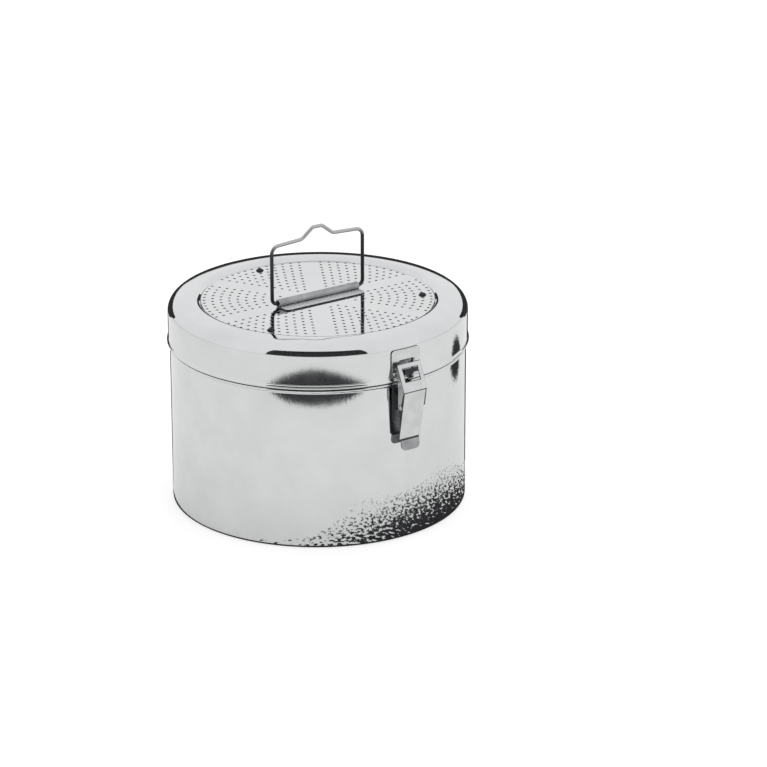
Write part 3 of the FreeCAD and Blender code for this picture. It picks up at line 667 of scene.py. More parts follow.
def on_circle(radius, turn):
    """The place (x, y) at that turn on a circle about the Z axis."""
    return radius * math.cos(turn), radius * math.sin(turn)


class DRUM_OT_shell(Operator):
    """Make the drum: drawn wall, bead, stepped-in neck and base"""

    bl_idname = "drum.shell"
    bl_label = "Drum shell"

    def execute(self, context):
        sizes = context.scene.drum_sizes
        sheet = sizes.sheet
        bead_out, neck_in, bead_tall, under_lid = 1 * MM, 2 * MM, 2.5 * MM, 0.3 * MM
        slope = 0.6 * MM
        bead = SHELL_TOP.x
        wall = bead - bead_out
        neck = wall - neck_in
        top = SHELL_TOP.z
        bead_top = LID_LOW.z - under_lid
        bead_foot = bead_top - bead_tall
        bm = bmesh.new()
        outline(
            bm,
            [
                (0, 0, 0),
                (wall, 0, 2.2 * MM),
                (wall, bead_foot - slope, 0.6 * MM),
                (bead, bead_foot + slope, 0.5 * MM),
                (bead, bead_top, 1.3 * MM),
                (neck, bead_top, 0.4 * MM),
                (neck, top, 0.44 * MM),
                (neck - sheet, top, 0.44 * MM),
                (neck - sheet, bead_top - sheet, 0.4 * MM),
                (wall - sheet, bead_foot - sheet, 0.6 * MM),
                (wall - sheet, sheet, 1.6 * MM),
                (0, sheet, 0),
            ],
        )
        turn_outline(bm, sizes.smoothness)
        # painted shade: the seat under the lid's hem gets the dark raw sheet, for the shade in the gap
        # under the hem
        shaded_seat_low, shaded_seat_high = bead_top - 0.7 * MM, bead_top + 1 * MM
        stain(bm, lambda face: shaded_seat_low < height_of(face) < shaded_seat_high)
        finished("drum_body", bm, [polished_sheet(), raw_and_shaded_sheet()], "drum", ["drum_shell"])
        return {"FINISHED"}


class DRUM_OT_lid(Operator):
    """Make the lid's ring: rolled hem, skirt, round shoulder, rim and the turn down to the disc"""

    bl_idname = "drum.lid"
    bl_label = "Lid ring"

    def execute(self, context):
        sizes = context.scene.drum_sizes
        sheet, crown, recess = sizes.sheet, sizes.crown, sizes.recess
        low, top = LID_LOW.z, LID_TOP.z
        rim_edge = top - sizes.fall
        hem_out, hem_top, skirt_foot = 1 * MM, low + 2.6 * MM, low + 3.4 * MM
        hem = LID_TOP.x
        skirt = hem - hem_out
        disc_edge = DISC_TOP.x
        # the sheet's width in the steep turn down to the disc
        turn_width = 0.36 * MM
        bm = bmesh.new()
        outline(
            bm,
            [
                (skirt - sheet, low, 0.3 * MM),
                (hem, low, 1.3 * MM),
                (hem, hem_top, 0.9 * MM),
                (skirt, skirt_foot, 0.5 * MM),
                (skirt, rim_edge, sizes.shoulder),
                (crown, top, 5.5 * MM),
                (recess, top, 2.2 * MM),
                (disc_edge + 0.1 * MM, DISC_TOP.z, 0.5 * MM),
                (disc_edge + 0.02 * MM, DISC_LOW.z, 0),
                (disc_edge + turn_width, DISC_LOW.z, 0),
                (recess + turn_width, top - sheet, 2.0 * MM),
                (crown, top - sheet, 5.5 * MM),
                (skirt - sheet, rim_edge - sheet, sizes.shoulder - sheet),
            ],
            segments=10,
        )
        turn_outline(bm, sizes.smoothness)
        finished("lid_ring", bm, [polished_sheet()], "lid", ["lid_shell"])
        return {"FINISHED"}


def arc_radius(sizes, holes):
    """Radius at which an arc of so many holes fills one sector."""
    return ((holes - 1) * sizes.hole_pitch + sizes.plain_strip) / (FULL_TURN / sizes.sectors)


def stud_spots():
    """Where the three studs stand: one at the back, which gives their radius, and two in front."""
    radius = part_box("filter_studs")[1].y - STUD_HEAD
    return [on_circle(radius, math.radians(angle)) for angle in (90, 210, 330)]


class DRUM_OT_disc(Operator):
    """Punch the lid's disc: six sectors of arcs of round holes"""

    bl_idname = "drum.disc"
    bl_label = "Perforated disc"

    def execute(self, context):
        sizes = context.scene.drum_sizes
        top, thick = DISC_TOP.z, DISC_TOP.z - DISC_LOW.z
        bm = bmesh.new()
        for sector in range(sizes.sectors):
            self.sector(bm, sizes, FULL_TURN / sizes.sectors * (sector + 0.5), top)
        bmesh.ops.remove_doubles(bm, verts=bm.verts[:], dist=SAME)
        extrude_outline(bm, (0, 0, -thick))
        # a hole's rim has far shorter edges than the disc's own
        short = sizes.hole_pitch / 4
        rims = [
            edge
            for edge in bm.edges
            if edge.calc_length() < short
            and abs(edge.calc_face_angle(0) - QUARTER_TURN) < 0.1
            and all(abs(vert.co.z - top) < SAME for vert in edge.verts)
        ]
        bevel_edges(bm, rims, 0.12 * MM, 1)
        # the walls of the holes get the dark raw sheet: dull cut edges, darkened as painted shade
        # inside the holes
        stain(bm, lambda face: abs(face.normal.z) < 0.5)
        materials = [polished_sheet(), raw_and_shaded_sheet()]
        finished("perforated_disc", bm, materials, "lid", ["lid_disc"], weighted=False)
        return {"FINISHED"}

    def sector(self, bm, sizes, middle, level):
        """One sector's plate: a wedge from the centre, with its arcs of holes left open."""
        known = set(bm.edges)
        width = FULL_TURN / sizes.sectors
        steps = sizes.smoothness // sizes.sectors
        turns = [middle + width * (step / steps - 0.5) for step in range(steps + 1)]
        rim = [on_circle(DISC_TOP.x, turn) for turn in turns]
        corners = [bm.verts.new((*spot, level)) for spot in ((0, 0), *rim)]
        for one, two in zip(corners, corners[1:] + corners[:1]):
            bm.edges.new((one, two))
        studs = stud_spots()
        for holes in range(2, sizes.longest_arc + 1):
            radius = arc_radius(sizes, holes)
            for index in range(holes):
                turn = middle + (index - (holes - 1) / 2) * sizes.hole_pitch / radius
                spot = on_circle(radius, turn)
                if min(math.dist(spot, stud) for stud in studs) < sizes.hole_pitch / 2:
                    self.punch(bm, spot, level, 2.5 * MM, 16)
                else:
                    self.punch(bm, spot, level, sizes.hole / 2, 12)
        fresh = [edge for edge in bm.edges if edge not in known]
        bmesh.ops.triangle_fill(bm, use_beauty=True, use_dissolve=False, edges=fresh, normal=Z_AXIS)

    def punch(self, bm, spot, level, radius, sides):
        """The outline of one hole, which the plate's fill leaves open."""
        place = Matrix.Translation((*spot, level))
        bmesh.ops.create_circle(bm, cap_ends=False, radius=radius, segments=sides, matrix=place)


def bent_wire(bm, corners, radius, sides=20, steps=8):
    """A round wire along straight runs in the XZ plane; corners are (x, z, bend)."""
    points = [Vector((across, 0, up)) for across, up, _ in corners]
    ahead = (points[1] - points[0]).normalized()
    place = Matrix.Translation(points[0]) @ Z_AXIS.rotation_difference(ahead).to_matrix().to_4x4()
    bmesh.ops.create_circle(bm, cap_ends=True, radius=radius, segments=sides, matrix=place)
    ring = bm.edges[:]
    at = points[0]
    for index in range(1, len(points)):
        ahead = (points[index] - points[index - 1]).normalized()
        stop = points[index]
        bends = index < len(points) - 1
        if bends:
            after = (points[index + 1] - points[index]).normalized()
            angle = ahead.angle(after)
            bend = corners[index][2]
            stop = points[index] - ahead * bend * math.tan(angle / 2)
        made = bmesh.ops.extrude_edge_only(bm, edges=ring)["geom"]
        verts = only(made, BMVert)
        bmesh.ops.translate(bm, verts=verts, vec=stop - at)
        ring = [edge for edge in only(made, BMEdge) if all(vert in verts for vert in edge.verts)]
        at = stop
        if bends:
            axis = ahead.cross(after).normalized()
            turned = bmesh.ops.spin(
                bm,
                geom=verts + ring,
                cent=stop + axis.cross(ahead) * bend,
                axis=axis,
                dvec=ORIGIN,
                angle=angle,
                steps=steps,
                use_merge=False,
                use_duplicate=False,
            )["geom_last"]
            ring = only(turned, BMEdge)
            at = stop + (ahead + after) * bend * math.tan(angle / 2)
    bmesh.ops.edgeloop_fill(bm, edges=ring)
    bmesh.ops.recalc_face_normals(bm, faces=bm.faces[:])


class DRUM_OT_handle(Operator):
    """Bend the wire handle and roll the strap that holds it"""

    bl_idname = "drum.handle"
    bl_label = "Lid handle"

    def execute(self, context):
        self.wire()
        self.strap()
        return {"FINISHED"}

    def wire(self):
        """The handle: two legs turned into the barrel, two shoulders and a hump between them."""
        radius = BAIL_TOP.y
        axis_level = BAIL_LOW.z + radius
        leg = BAIL_TOP.x - radius
        crown = BAIL_TOP.z - radius
        shoulder = axis_level + 48 * MM
        hump_half, hump_foot_half, hump_foot = 4.5 * MM, 15 * MM, shoulder + 1.5 * MM
        inner_end = STRAP_TOP.x - 20 * MM
        right = [
            (hump_half, crown, 3.5 * MM),
            (hump_foot_half, hump_foot, 7 * MM),
            (leg, shoulder, 6.5 * MM),
            (leg, axis_level, 4.6 * MM),
            (inner_end, axis_level, 0),
        ]
        left = [(-across, up, bend) for across, up, bend in reversed(right)]
        bm = bmesh.new()
        bent_wire(bm, left + right, radius)
        wire = [drawn_wire()]
        finished("wire_handle", bm, wire, "handle", ["handle_bail"], weighted=False)

    def strap(self):
        """A flat flange whose back edge is rolled over into a barrel."""
        foot, front = STRAP_LOW.z, STRAP_LOW.y
        barrel = STRAP_TOP.y
        half = STRAP_TOP.x
        flat = foot + 1.0 * MM
        bm = bmesh.new()
        start = [bm.verts.new((-half, 0, foot)), bm.verts.new((-half, 0, flat))]
        wall = bm.edges.new(start)
        bmesh.ops.spin(
            bm,
            geom=[*start, wall],
            cent=(0, 0, foot + barrel),
            axis=(1, 0, 0),
            dvec=ORIGIN,
            angle=math.radians(318),
            steps=40,
            use_merge=False,
            use_duplicate=False,
        )
        flange = bmesh.ops.extrude_edge_only(bm, edges=[wall])["geom"]
        bmesh.ops.translate(bm, verts=only(flange, BMVert), vec=(0, front, 0))
        extrude_outline(bm, (2 * half, 0, 0))
        corners = [
            edge
            for edge in bm.edges
            if all(abs(vert.co.y - front) < SAME for vert in edge.verts)
            and abs(edge.verts[0].co.x - edge.verts[1].co.x) < SAME
        ]
        bevel_edges(bm, corners, 4 * MM, 8)
        bevel_edges(bm, sharper_than(bm, 50), 0.15 * MM, 2)
        above, crease = flat + 0.1 * MM, flat + 0.7 * MM
        # dull cut edges, dark partly as painted shade, a ground barrel, and a strip of painted shade
        # along the crease where the barrel meets the flange
        stain(bm, lambda face: abs(face.normal.z) < 0.5, 2)
        stain(bm, lambda face: height_of(face) > above)
        stain(bm, lambda face: face.calc_center_median().y < 0 and above < height_of(face) < crease, 2)
        materials = [satin_sheet(), ground_sheet(), raw_and_shaded_sheet()]
        finished("rolled_strap", bm, materials, "lid", ["handle_strap"])


class DRUM_OT_filter(Operator):
    """Make what holds the filter: studs, holder and finger nuts"""

    bl_idname = "drum.filter"
    bl_label = "Filter holder"

    def execute(self, context):
        self.studs()
        self.nuts()
        holder = softened_copy("filter_holder", 0.2 * MM)
        finished("holder_grid", holder, [pressed_sheet()], "filter", ["filter_holder"])
        return {"FINISHED"}

    def studs(self):
        """Low domed heads above the disc, and threaded shanks below it."""
        low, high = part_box("filter_studs")
        bm = bmesh.new()
        for spot in stud_spots():
            dome(bm, Vector((*spot, high.z)), Z_AXIS, STUD_HEAD, high.z - DISC_TOP.z, 32, 32)
            self.thread(bm, Vector((*spot, 0)), 2.4 * MM, 1.0 * MM, low.z, DISC_TOP.z - 0.1 * MM)
        bmesh.ops.recalc_face_normals(bm, faces=bm.faces[:])
        finished("stud_heads", bm, [burnt_stud()], "lid", ["filter_studs"], weighted=False)

    def thread(self, bm, place, radius, pitch, low, high):
        """A core with a helical ridge: a small tooth spun round the stud as it rises."""
        core = radius - 0.35 * MM
        root = core - 0.1 * MM
        rod(bm, core, high - low, Matrix.Translation(place + Z_AXIS * (low + high) / 2))
        profile = ((root, 0.1 * pitch), (radius, pitch / 2), (root, 0.9 * pitch))
        tooth = [bm.verts.new(place + Vector((across, 0, low + up))) for across, up in profile]
        edges = [bm.edges.new((tooth[0], tooth[1])), bm.edges.new((tooth[1], tooth[2]))]
        steps = 24
        turns = int((high - low) / pitch) - 1
        bmesh.ops.spin(
            bm,
            geom=tooth + edges,
            cent=place,
            axis=Z_AXIS,
            dvec=Z_AXIS * pitch / steps,
            angle=FULL_TURN * turns,
            steps=steps * turns,
            use_merge=False,
            use_duplicate=False,
        )

    def nuts(self):
        """Round finger nuts with a straight knurl and turned edges."""
        low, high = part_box("filter_nuts")
        radius, bore, ribs = 6 * MM, 2.5 * MM, 30
        reach = 1.1 * radius
        bm = bmesh.new()
        for spot in stud_spots():
            place = Matrix.Translation((*spot, high.z))
            middle = place.translation
            ring = bmesh.ops.create_circle(
                bm, cap_ends=False, radius=radius, segments=4 * ribs, matrix=place
            )["verts"]
            for index, vert in enumerate(ring):
                if index % 4 in (2, 3):
                    vert.co -= (vert.co - middle) * 0.05
            bmesh.ops.create_circle(bm, cap_ends=False, radius=bore, segments=24, matrix=place)
            edges = [edge for edge in bm.edges if not edge.link_faces]
            bmesh.ops.triangle_fill(bm, use_beauty=True, use_dissolve=False, edges=edges, normal=Z_AXIS)
            near = [face for face in bm.faces if (face.calc_center_median() - middle).length < reach]
            flat = [face for face in near if all(abs(vert.co.z - high.z) < SAME for vert in face.verts)]
            made = bmesh.ops.extrude_face_region(bm, geom=flat, use_keep_orig=True)["geom"]
            bmesh.ops.translate(bm, verts=only(made, BMVert), vec=(0, 0, low.z - high.z))
        bmesh.ops.recalc_face_normals(bm, faces=bm.faces[:])
        rims = [
            edge
            for edge in bm.edges
            if len(edge.link_faces) == 2
            and abs(edge.calc_face_angle(0) - QUARTER_TURN) < 0.2
            and abs(edge.verts[0].co.z - edge.verts[1].co.z) < SAME
        ]
        bevel_edges(bm, rims, 0.25 * MM, 2)
        steel = [turned_steel()]
        finished("finger_nuts", bm, steel, "filter", ["filter_nuts"], weighted=False)


class DRUM_OT_cloth(Operator):
    """Lay the round filter cloth on its holder, sagging a little over the windows"""

    bl_idname = "drum.cloth"
    bl_label = "Filter cloth"

    def execute(self, context):
        low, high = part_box("filter_cloth")
        radius = high.x
        middle = (low.z + high.z) / 2
        rings, spokes, windows, sag = 30, 120, 6, 0.12 * MM
        bm = bmesh.new()
        line = [bm.verts.new((radius * step / rings, 0, middle)) for step in range(rings + 1)]
        for one, two in zip(line, line[1:]):
            bm.edges.new((one, two))
        spin_round(bm, spokes)
        for vert in bm.verts:
            turn = math.atan2(vert.co.y, vert.co.x)
            share = vert.co.xy.length / radius
            over_window = (1 + math.cos(windows * turn)) / 2
            vert.co.z -= sag * math.sin(math.pi * min(share, 1)) * over_window
        cotton = [filter_textile()]
        piece = finished("woven_filter", bm, cotton, "filter", ["filter_cloth"], weighted=False)
        wall = piece.modifiers.new("Thickness", "SOLIDIFY")
        wall.thickness = 0.7 * MM
        wall.offset = 0
        return {"FINISHED"}


class DRUM_OT_latch(Operator):
    """Make the toggle latch: bracket, lever, link and the catch on the lid"""

    bl_idname = "drum.latch"
    bl_label = "Toggle latch"

    def execute(self, context):
        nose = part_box("catch_hook")[0].y + 6 * MM
        for name, node, body, width in (
            ("latch_base", "latch_bracket", "drum", 0.2),
            ("latch_handle", "latch_lever", "lever", 0.25),
            ("latch_loop", "latch_link", "link", 0.2),
            ("lid_catch", "catch_hook", "lid", 0.2),
        ):
            bm = softened_copy(node, width * MM)
            if name == "latch_handle":
                self.grind_tongue(bm)
            # cut edges get the dull dark sheet, partly as painted shade
            stain(bm, lambda face: is_cut_edge(face) and face.material_index == 0)
            # painted shade: the flanks, and the hollow side of the hook, get the dark raw sheet for the
            # shade that falls on them
            if name in ("latch_handle", "latch_base"):
                stain(bm, lambda face: abs(face.normal.x) > 0.7)
            if name == "lid_catch":
                stain(bm, lambda face: face.calc_center_median().y < nose and face.normal.z < 0.3)
            materials = [pressed_sheet(), raw_and_shaded_sheet(), ground_sheet()]
            finished(name, bm, materials, body, [node])
        return {"FINISHED"}

    def grind_tongue(self, bm):
        """The lever's tongue is ground up to its crease, and a strip below the crease is painted dark
        as the shadow of the bend.
        """
        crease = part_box("latch_lever")[0].z + 9.8 * MM
        shadow_strip_low, shadow_strip_high = crease - 1.6 * MM, crease - 0.3 * MM
        tongue = shadow_strip_low - 0.1 * MM
        everything = bm.faces[:] + bm.edges[:] + bm.verts[:]
        bmesh.ops.bisect_plane(bm, geom=everything, plane_co=(0, 0, shadow_strip_low), plane_no=Z_AXIS)
        stain(bm, lambda face: height_of(face) < tongue, 2)
        # painted shadow of the bend, just below the crease
        stain(bm, lambda face: shadow_strip_low < height_of(face) < shadow_strip_high)


class DRUM_OT_hinge(Operator):
    """Make the two leaves of the lid's hinge"""

    bl_idname = "drum.hinge"
    bl_label = "Lid hinge"

    def execute(self, context):
        for name, node, body in (
            ("hinge_leaf_on_drum", "drum_hinge_leaf", "drum"),
            ("hinge_leaf_on_lid", "lid_hinge_leaf", "lid"),
        ):
            finished(name, softened_copy(node, 0.2 * MM), [pressed_sheet()], body, [node])
        return {"FINISHED"}


class DRUM_OT_rivets(Operator):
    """Head the rivets of latch, catch and hinge with low domes"""

    bl_idname = "drum.rivets"
    bl_label = "Rivets"

    def execute(self, context):
        for node, body in (
            ("bracket_rivets", "drum"),
            ("drum_leaf_rivets", "drum"),
            ("catch_rivets", "lid"),
            ("lid_leaf_rivets", "lid"),
        ):
            self.wall_heads(node, body)
        self.link_heads()
        return {"FINISHED"}

    def wall_heads(self, node, body):
        """Two heads on the outer side of a wall, one above the other or side by side."""
        low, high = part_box(node)
        middle = (low + high) / 2
        head = 2.6 * MM
        face, out = (low.y, -1) if low.y < 0 else (high.y, 1)
        if high.z - low.z > 4 * head:
            spots = [(0, face, low.z + head), (0, face, high.z - head)]
        else:
            spots = [(low.x + head, face, middle.z), (high.x - head, face, middle.z)]
        bm = bmesh.new()
        for spot in spots:
            dome(bm, Vector(spot), Vector((0, out, 0)), head, 1.0 * MM)
        name = node.replace("rivets", "rivet_heads")
        finished(name, bm, [turned_steel()], body, [node], weighted=False)

    def link_heads(self):
        """The link's two rivets: a head outside each arm and a stem through it."""
        low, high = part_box("link_rivets")
        middle = (low + high) / 2
        head = (high.z - low.z) / 2
        sunk, stem, stem_radius = 0.8 * MM, 2.3 * MM, 1.2 * MM
        lying = Matrix.Rotation(QUARTER_TURN, 4, "Y")
        bm = bmesh.new()
        for side, face in ((1, high.x), (-1, low.x)):
            dome(bm, Vector((face, *middle.yz)), Vector((side, 0, 0)), head, 0.9 * MM)
            place = Matrix.Translation((face - side * (sunk + stem / 2), *middle.yz))
            rod(bm, stem_radius, stem, place @ lying)
        steel = [turned_steel()]
        finished("link_rivet_heads", bm, steel, "link", ["link_rivets"], weighted=False)


class DRUM_OT_pins(Operator):
    """Give the hinge pin and the lever pin their turned finish"""

    bl_idname = "drum.pins"
    bl_label = "Pins"

    def execute(self, context):
        for node in ("hinge_pin", "lever_pin"):
            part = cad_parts[node]
            part.data.materials.clear()
            part.data.materials.append(turned_steel())
        return {"FINISHED"}


def bearing(azimuth, elevation=0.0):
    """The direction from the object towards a place seen at that bearing."""
    flat = math.cos(elevation)
    return Vector((math.sin(azimuth) * flat, -math.cos(azimuth) * flat, math.sin(elevation)))


def background_rays(tree, path):
    """1 for rays that see the background: from the camera, off a mirror or through glass."""
    seen = add(
        tree,
        "ShaderNodeMath",
        links={0: path.outputs["Is Camera Ray"], 1: path.outputs["Is Glossy Ray"]},
        operation="MAXIMUM",
    )
    shown = add(
        tree,
        "ShaderNodeMath",
        links={0: seen.outputs["Value"], 1: path.outputs["Is Transmission Ray"]},
        operation="MAXIMUM",
    )
    return shown.outputs["Value"]


def paper_floor():
    """White studio paper, matt, and lit evenly where it is the background."""
    made, tree = new_material("white_paper_floor")
    if tree is None:
        return made
    path = add(tree, "ShaderNodeLightPath")
    paper = add(tree, "ShaderNodeBsdfDiffuse", {"Color": (*srgb("#F2F2F1"), 1)})
    dim = add(tree, "ShaderNodeBsdfDiffuse", {"Color": (*srgb("#C9C9C8"), 1)})
    # the drum mirrors the paper a little darker than the camera sees it
    mirrored, plain = 0.33, 0.52
    glare = add(
        tree,
        "ShaderNodeMapRange",
        {"To Min": mirrored, "To Max": plain},
        {"Value": path.outputs["Is Camera Ray"]},
    )
    glow = add(tree, "ShaderNodeEmission", links={"Strength": glare.outputs["Result"]})
    bright = add(
        tree, "ShaderNodeAddShader", links={0: dim.outputs["BSDF"], 1: glow.outputs["Emission"]}
    )
    mixed = add(
        tree,
        "ShaderNodeMixShader",
        links={0: background_rays(tree, path), 1: paper.outputs["BSDF"], 2: bright.outputs["Shader"]},
    )
    add(tree, "ShaderNodeOutputMaterial", links={"Surface": mixed.outputs["Shader"]})
    return made


def black_card():
    """Matt black card."""
    made, tree = new_material("black_card")
    if tree is None:
        return made
    black = add(tree, "ShaderNodeBsdfDiffuse", {"Color": (*srgb(CARD_BLACK), 1)})
    add(tree, "ShaderNodeOutputMaterial", links={"Surface": black.outputs["BSDF"]})
    return made


def ragged_card(name, bend, amount):
    """Matt black card cut to a bent disc, with an edge that is broken up into spots."""
    made, tree = new_material(name)
    if tree is None:
        return made
    local = add(tree, "ShaderNodeTexCoord").outputs["Object"]
    parts = add(tree, "ShaderNodeSeparateXYZ", links={0: local}).outputs
    square = add(tree, "ShaderNodeMath", links={0: parts["X"], 1: parts["X"]}, operation="MULTIPLY")
    moved = add(
        tree,
        "ShaderNodeMath",
        {1: -bend},
        {0: square.outputs["Value"], 2: parts["Y"]},
        operation="MULTIPLY_ADD",
    )
    bent = add(tree, "ShaderNodeCombineXYZ", links={"X": parts["X"], "Y": moved.outputs["Value"]})
    out = add(tree, "ShaderNodeVectorMath", links={0: bent.outputs["Vector"]}, operation="LENGTH")
    place = add(tree, "ShaderNodeNewGeometry").outputs["Position"]
    spot_size = 5 * MM
    spots = add(
        tree,
        "ShaderNodeTexNoise",
        {"Scale": 1 / spot_size, "Detail": 2.0, "Roughness": 0.6},
        {"Vector": place},
    )
    broken = add(
        tree,
        "ShaderNodeMath",
        {1: amount},
        {0: spots.outputs["Fac"], 2: out.outputs["Value"]},
        operation="MULTIPLY_ADD",
    )
    # the spots add half their amount on average
    black_to, clear_from = 0.72 + amount / 2, 0.8 + amount / 2
    clear = add(
        tree,
        "ShaderNodeMapRange",
        {"From Min": black_to, "From Max": clear_from},
        {"Value": broken.outputs["Value"]},
    )
    black = add(tree, "ShaderNodeBsdfDiffuse", {"Color": (*srgb(CARD_BLACK), 1)})
    air = add(tree, "ShaderNodeBsdfTransparent")
    mixed = add(
        tree,
        "ShaderNodeMixShader",
        links={0: clear.outputs["Result"], 1: black.outputs["BSDF"], 2: air.outputs["BSDF"]},
    )
    add(tree, "ShaderNodeOutputMaterial", links={"Surface": mixed.outputs["Shader"]})
    return made


class DRUM_OT_studio(Operator):
    """Set the camera, the pale floor, the soft lamps, the white surroundings and the black cards"""

    bl_idname = "drum.studio"
    bl_label = "Studio"

    def execute(self, context):
        view = context.scene.drum_view
        self.camera(context, view)
        self.floor()
        self.world(context)
        self.lamps(context, view)
        self.upright_cards(view)
        self.floor_cards(view)
        self.ragged_cards(view)
        context.scene.view_settings.view_transform = "Standard"
        return {"FINISHED"}

    def camera(self, context, view):
        """A long lens that looks at the drum from above and from its left."""
        eye_to_aim = -bearing(view.azimuth, view.elevation)
        side = Vector((math.cos(view.azimuth), math.sin(view.azimuth), 0))
        aim = side * view.aim_right + Z_AXIS * view.aim_up
        lens = bpy.data.cameras.new("camera")
        lens.lens = view.lens
        lens.sensor_width = 36
        lens.clip_end = 50
        made = bpy.data.objects.new("camera", lens)
        context.scene.collection.objects.link(made)
        made.location = aim - eye_to_aim * view.distance
        made.rotation_euler = eye_to_aim.to_track_quat("-Z", "Y").to_euler()
        context.scene.camera = made

    def floor(self):
        """A wide sheet of paper under the drum."""
        bm = bmesh.new()
        bmesh.ops.create_grid(bm, x_segments=1, y_segments=1, size=6)
        mesh = bpy.data.meshes.new("floor")
        bm.to_mesh(mesh)
        bm.free()
        mesh.materials.append(paper_floor())
        floor = bpy.data.objects.new("floor", mesh)
        bpy.context.scene.collection.objects.link(floor)

    def world(self, context):
        """White surroundings, which light the drum a little less than they show."""
        world = bpy.data.worlds.new("white_surroundings")
        world.use_nodes = True
        tree = world.node_tree
        tree.nodes.clear()
        path = add(tree, "ShaderNodeLightPath")
        strength = add(
            tree,
            "ShaderNodeMapRange",
            {"To Min": 0.8, "To Max": 1.0},
            {"Value": background_rays(tree, path)},
        )
        sky = add(
            tree,
            "ShaderNodeBackground",
            {"Color": (1, 1, 1, 1)},
            {"Strength": strength.outputs["Result"]},
        )
        add(tree, "ShaderNodeOutputWorld", links={"Surface": sky.outputs["Background"]})
        context.scene.world = world

    def lamps(self, context, view):
        """Three soft lamps round the camera's bearing, which the polish doesn't mirror."""
        for name, turn, rise, far, wide, power in (
            ("lamp_right", 55, 35, 1.6, 1.2, 4.5),
            ("lamp_left", -60, 40, 1.8, 1.2, 4.5),
            ("lamp_top", 160, 65, 1.7, 1.5, 6.0),
        ):
            spot = bearing(view.azimuth + math.radians(turn), math.radians(rise)) * far
            light = bpy.data.lights.new(name, "AREA")
            light.size = wide
            light.energy = power
            lamp = bpy.data.objects.new(name, light)
            context.scene.collection.objects.link(lamp)
            lamp.location = spot + Z_AXIS * 0.1
            lamp.rotation_euler = (-spot).to_track_quat("-Z", "Y").to_euler()
            lamp.visible_glossy = False

    def card(self, name, corners, material):
        """A card that only reflections see, such as a dark part of the room round a polished drum."""
        bm = bmesh.new()
        bm.faces.new([bm.verts.new(corner) for corner in corners])
        mesh = bpy.data.meshes.new(name)
        bm.to_mesh(mesh)
        bm.free()
        mesh.materials.append(material)
        made = bpy.data.objects.new(name, mesh)
        bpy.context.scene.collection.objects.link(made)
        made.visible_camera = False
        made.visible_diffuse = False
        made.visible_shadow = False
        return made

    def upright_cards(self, view):
        """A card on the camera's side, which the shoulder mirrors, and a low one behind the drum."""
        for name, turn, out, wide, low, high in (
            ("card_before", 0, 2.0, 1.5, 0.1, 2.4),
            ("card_behind", 180, 3.2, 3.2, 0.0, 0.8),
        ):
            ahead = bearing(view.azimuth + math.radians(turn))
            across = Vector((-ahead.y, ahead.x, 0)) * wide
            corners = ((-1, low), (1, low), (1, high), (-1, high))
            ends = [ahead * out + across * side + Z_AXIS * up for side, up in corners]
            self.card(name, ends, black_card())

    def floor_cards(self, view):
        """Cards on the floor: two wedges and a sheet behind the drum, and the shade at its foot."""
        lift = Z_AXIS * CARD_LIFT
        ahead = bearing(view.azimuth + math.pi)
        across = Vector((-ahead.y, ahead.x, 0))
        for name, spots in (
            ("card_left_limb", ((0, -0.119), (0, -0.121), (0.48, -0.26), (0.48, -0.13))),
            ("card_right_limb", ((0, 0.119), (0, 0.121), (0.48, 0.26), (0.48, 0.13))),
            ("card_ground_behind", ((0.47, -0.4), (0.47, 0.4), (3.2, 3.2), (3.2, -3.2))),
        ):
            ends = [ahead * out + across * wide + lift for out, wide in spots]
            self.card(name, ends, black_card())
        radius, steps = 122.8 * MM, 96
        foot = [bearing(FULL_TURN * step / steps) * radius + lift for step in range(steps)]
        self.card("card_foot", foot, black_card())

    def ragged_cards(self, view):
        """Floor cards with a broken edge, which give the mottled spots on skirt and wall."""
        for name, turn, out, deep, wide, bend, amount in (
            ("shade_before", 0, 0.482, 0.066, 0.33, 2.0, 0.6),
            ("shade_right", 119, 0.4265, 0.08, 0.08, 0.0, 1.0),
            ("shade_beside", 57, 0.077, 0.126, 0.126, 0.0, 2.4),
        ):
            corners = [(-1, -1, 0), (1, -1, 0), (1, 1 + bend, 0), (-1, 1 + bend, 0)]
            made = self.card(name, corners, ragged_card(f"ragged_{name}", bend, amount))
            angle = view.azimuth + math.radians(turn)
            made.location = bearing(angle) * out + Z_AXIS * CARD_LIFT
            made.rotation_euler.z = angle
            made.scale = (wide, deep, 1)


PIECES = (
    DRUM_OT_studio,
    DRUM_OT_shell,
    DRUM_OT_lid,
    DRUM_OT_disc,
    DRUM_OT_handle,
    DRUM_OT_filter,
    DRUM_OT_cloth,
    DRUM_OT_latch,
    DRUM_OT_hinge,
    DRUM_OT_rivets,
    DRUM_OT_pins,
)


class DRUM_PT_panel(Panel):
    """The drum's pieces, sizes and finish"""

    bl_label = "Sterilizing Drum"
    bl_idname = "DRUM_PT_panel"
    bl_space_type = "VIEW_3D"
    bl_region_type = "UI"
    bl_category = "Drum"

    def draw(self, context):
        layout = self.layout
        for group in (context.scene.drum_sizes, context.scene.drum_finish, context.scene.drum_view):
            box = layout.box()
            for name in group.bl_rna.properties.keys():
                if name not in ("rna_type", "name"):
                    box.prop(group, name)
        for piece in PIECES:
            layout.operator(piece.bl_idname)


CLASSES = (DrumSizes, DrumFinish, StudioView, *PIECES, DRUM_PT_panel)


def register():
    """Makes the operators, the panel and the sizes known."""
    for one in CLASSES:
        bpy.utils.register_class(one)
    bpy.types.Scene.drum_sizes = PointerProperty(type=DrumSizes)
    bpy.types.Scene.drum_finish = PointerProperty(type=DrumFinish)
    bpy.types.Scene.drum_view = PointerProperty(type=StudioView)


def unregister():
    """Takes all of them away again."""
    del bpy.types.Scene.drum_view
    del bpy.types.Scene.drum_finish
    del bpy.types.Scene.drum_sizes
    for one in reversed(CLASSES):
        bpy.utils.unregister_class(one)


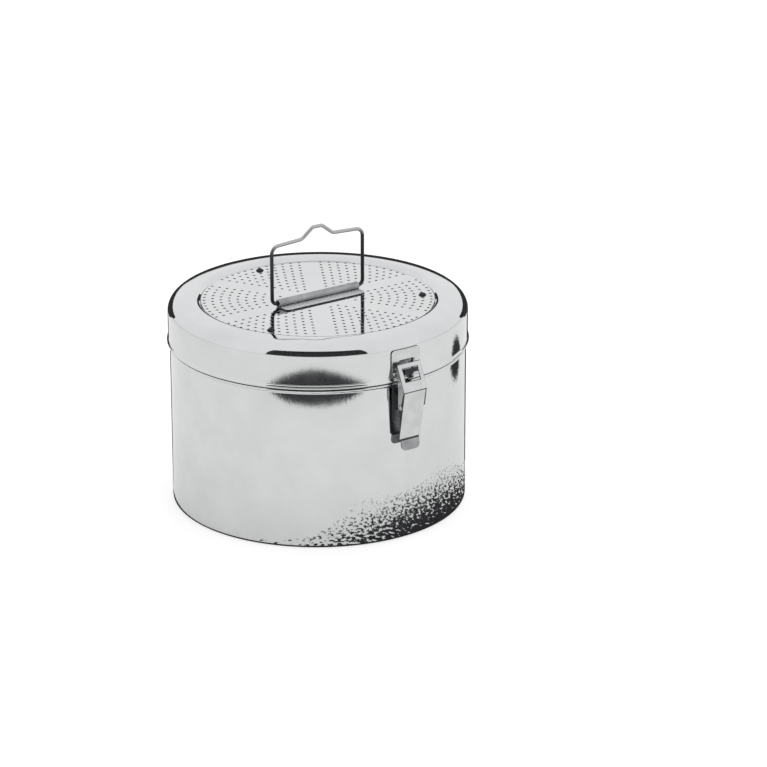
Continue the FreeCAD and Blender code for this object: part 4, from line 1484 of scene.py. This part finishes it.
def main():
    """Builds the stage and all pieces."""
    register()
    bpy.ops.drum.studio()
    bpy.ops.drum.shell()
    bpy.ops.drum.lid()
    bpy.ops.drum.disc()
    bpy.ops.drum.handle()
    bpy.ops.drum.filter()
    bpy.ops.drum.cloth()
    bpy.ops.drum.latch()
    bpy.ops.drum.hinge()
    bpy.ops.drum.rivets()
    bpy.ops.drum.pins()


if __name__ == "__main__":
    main()
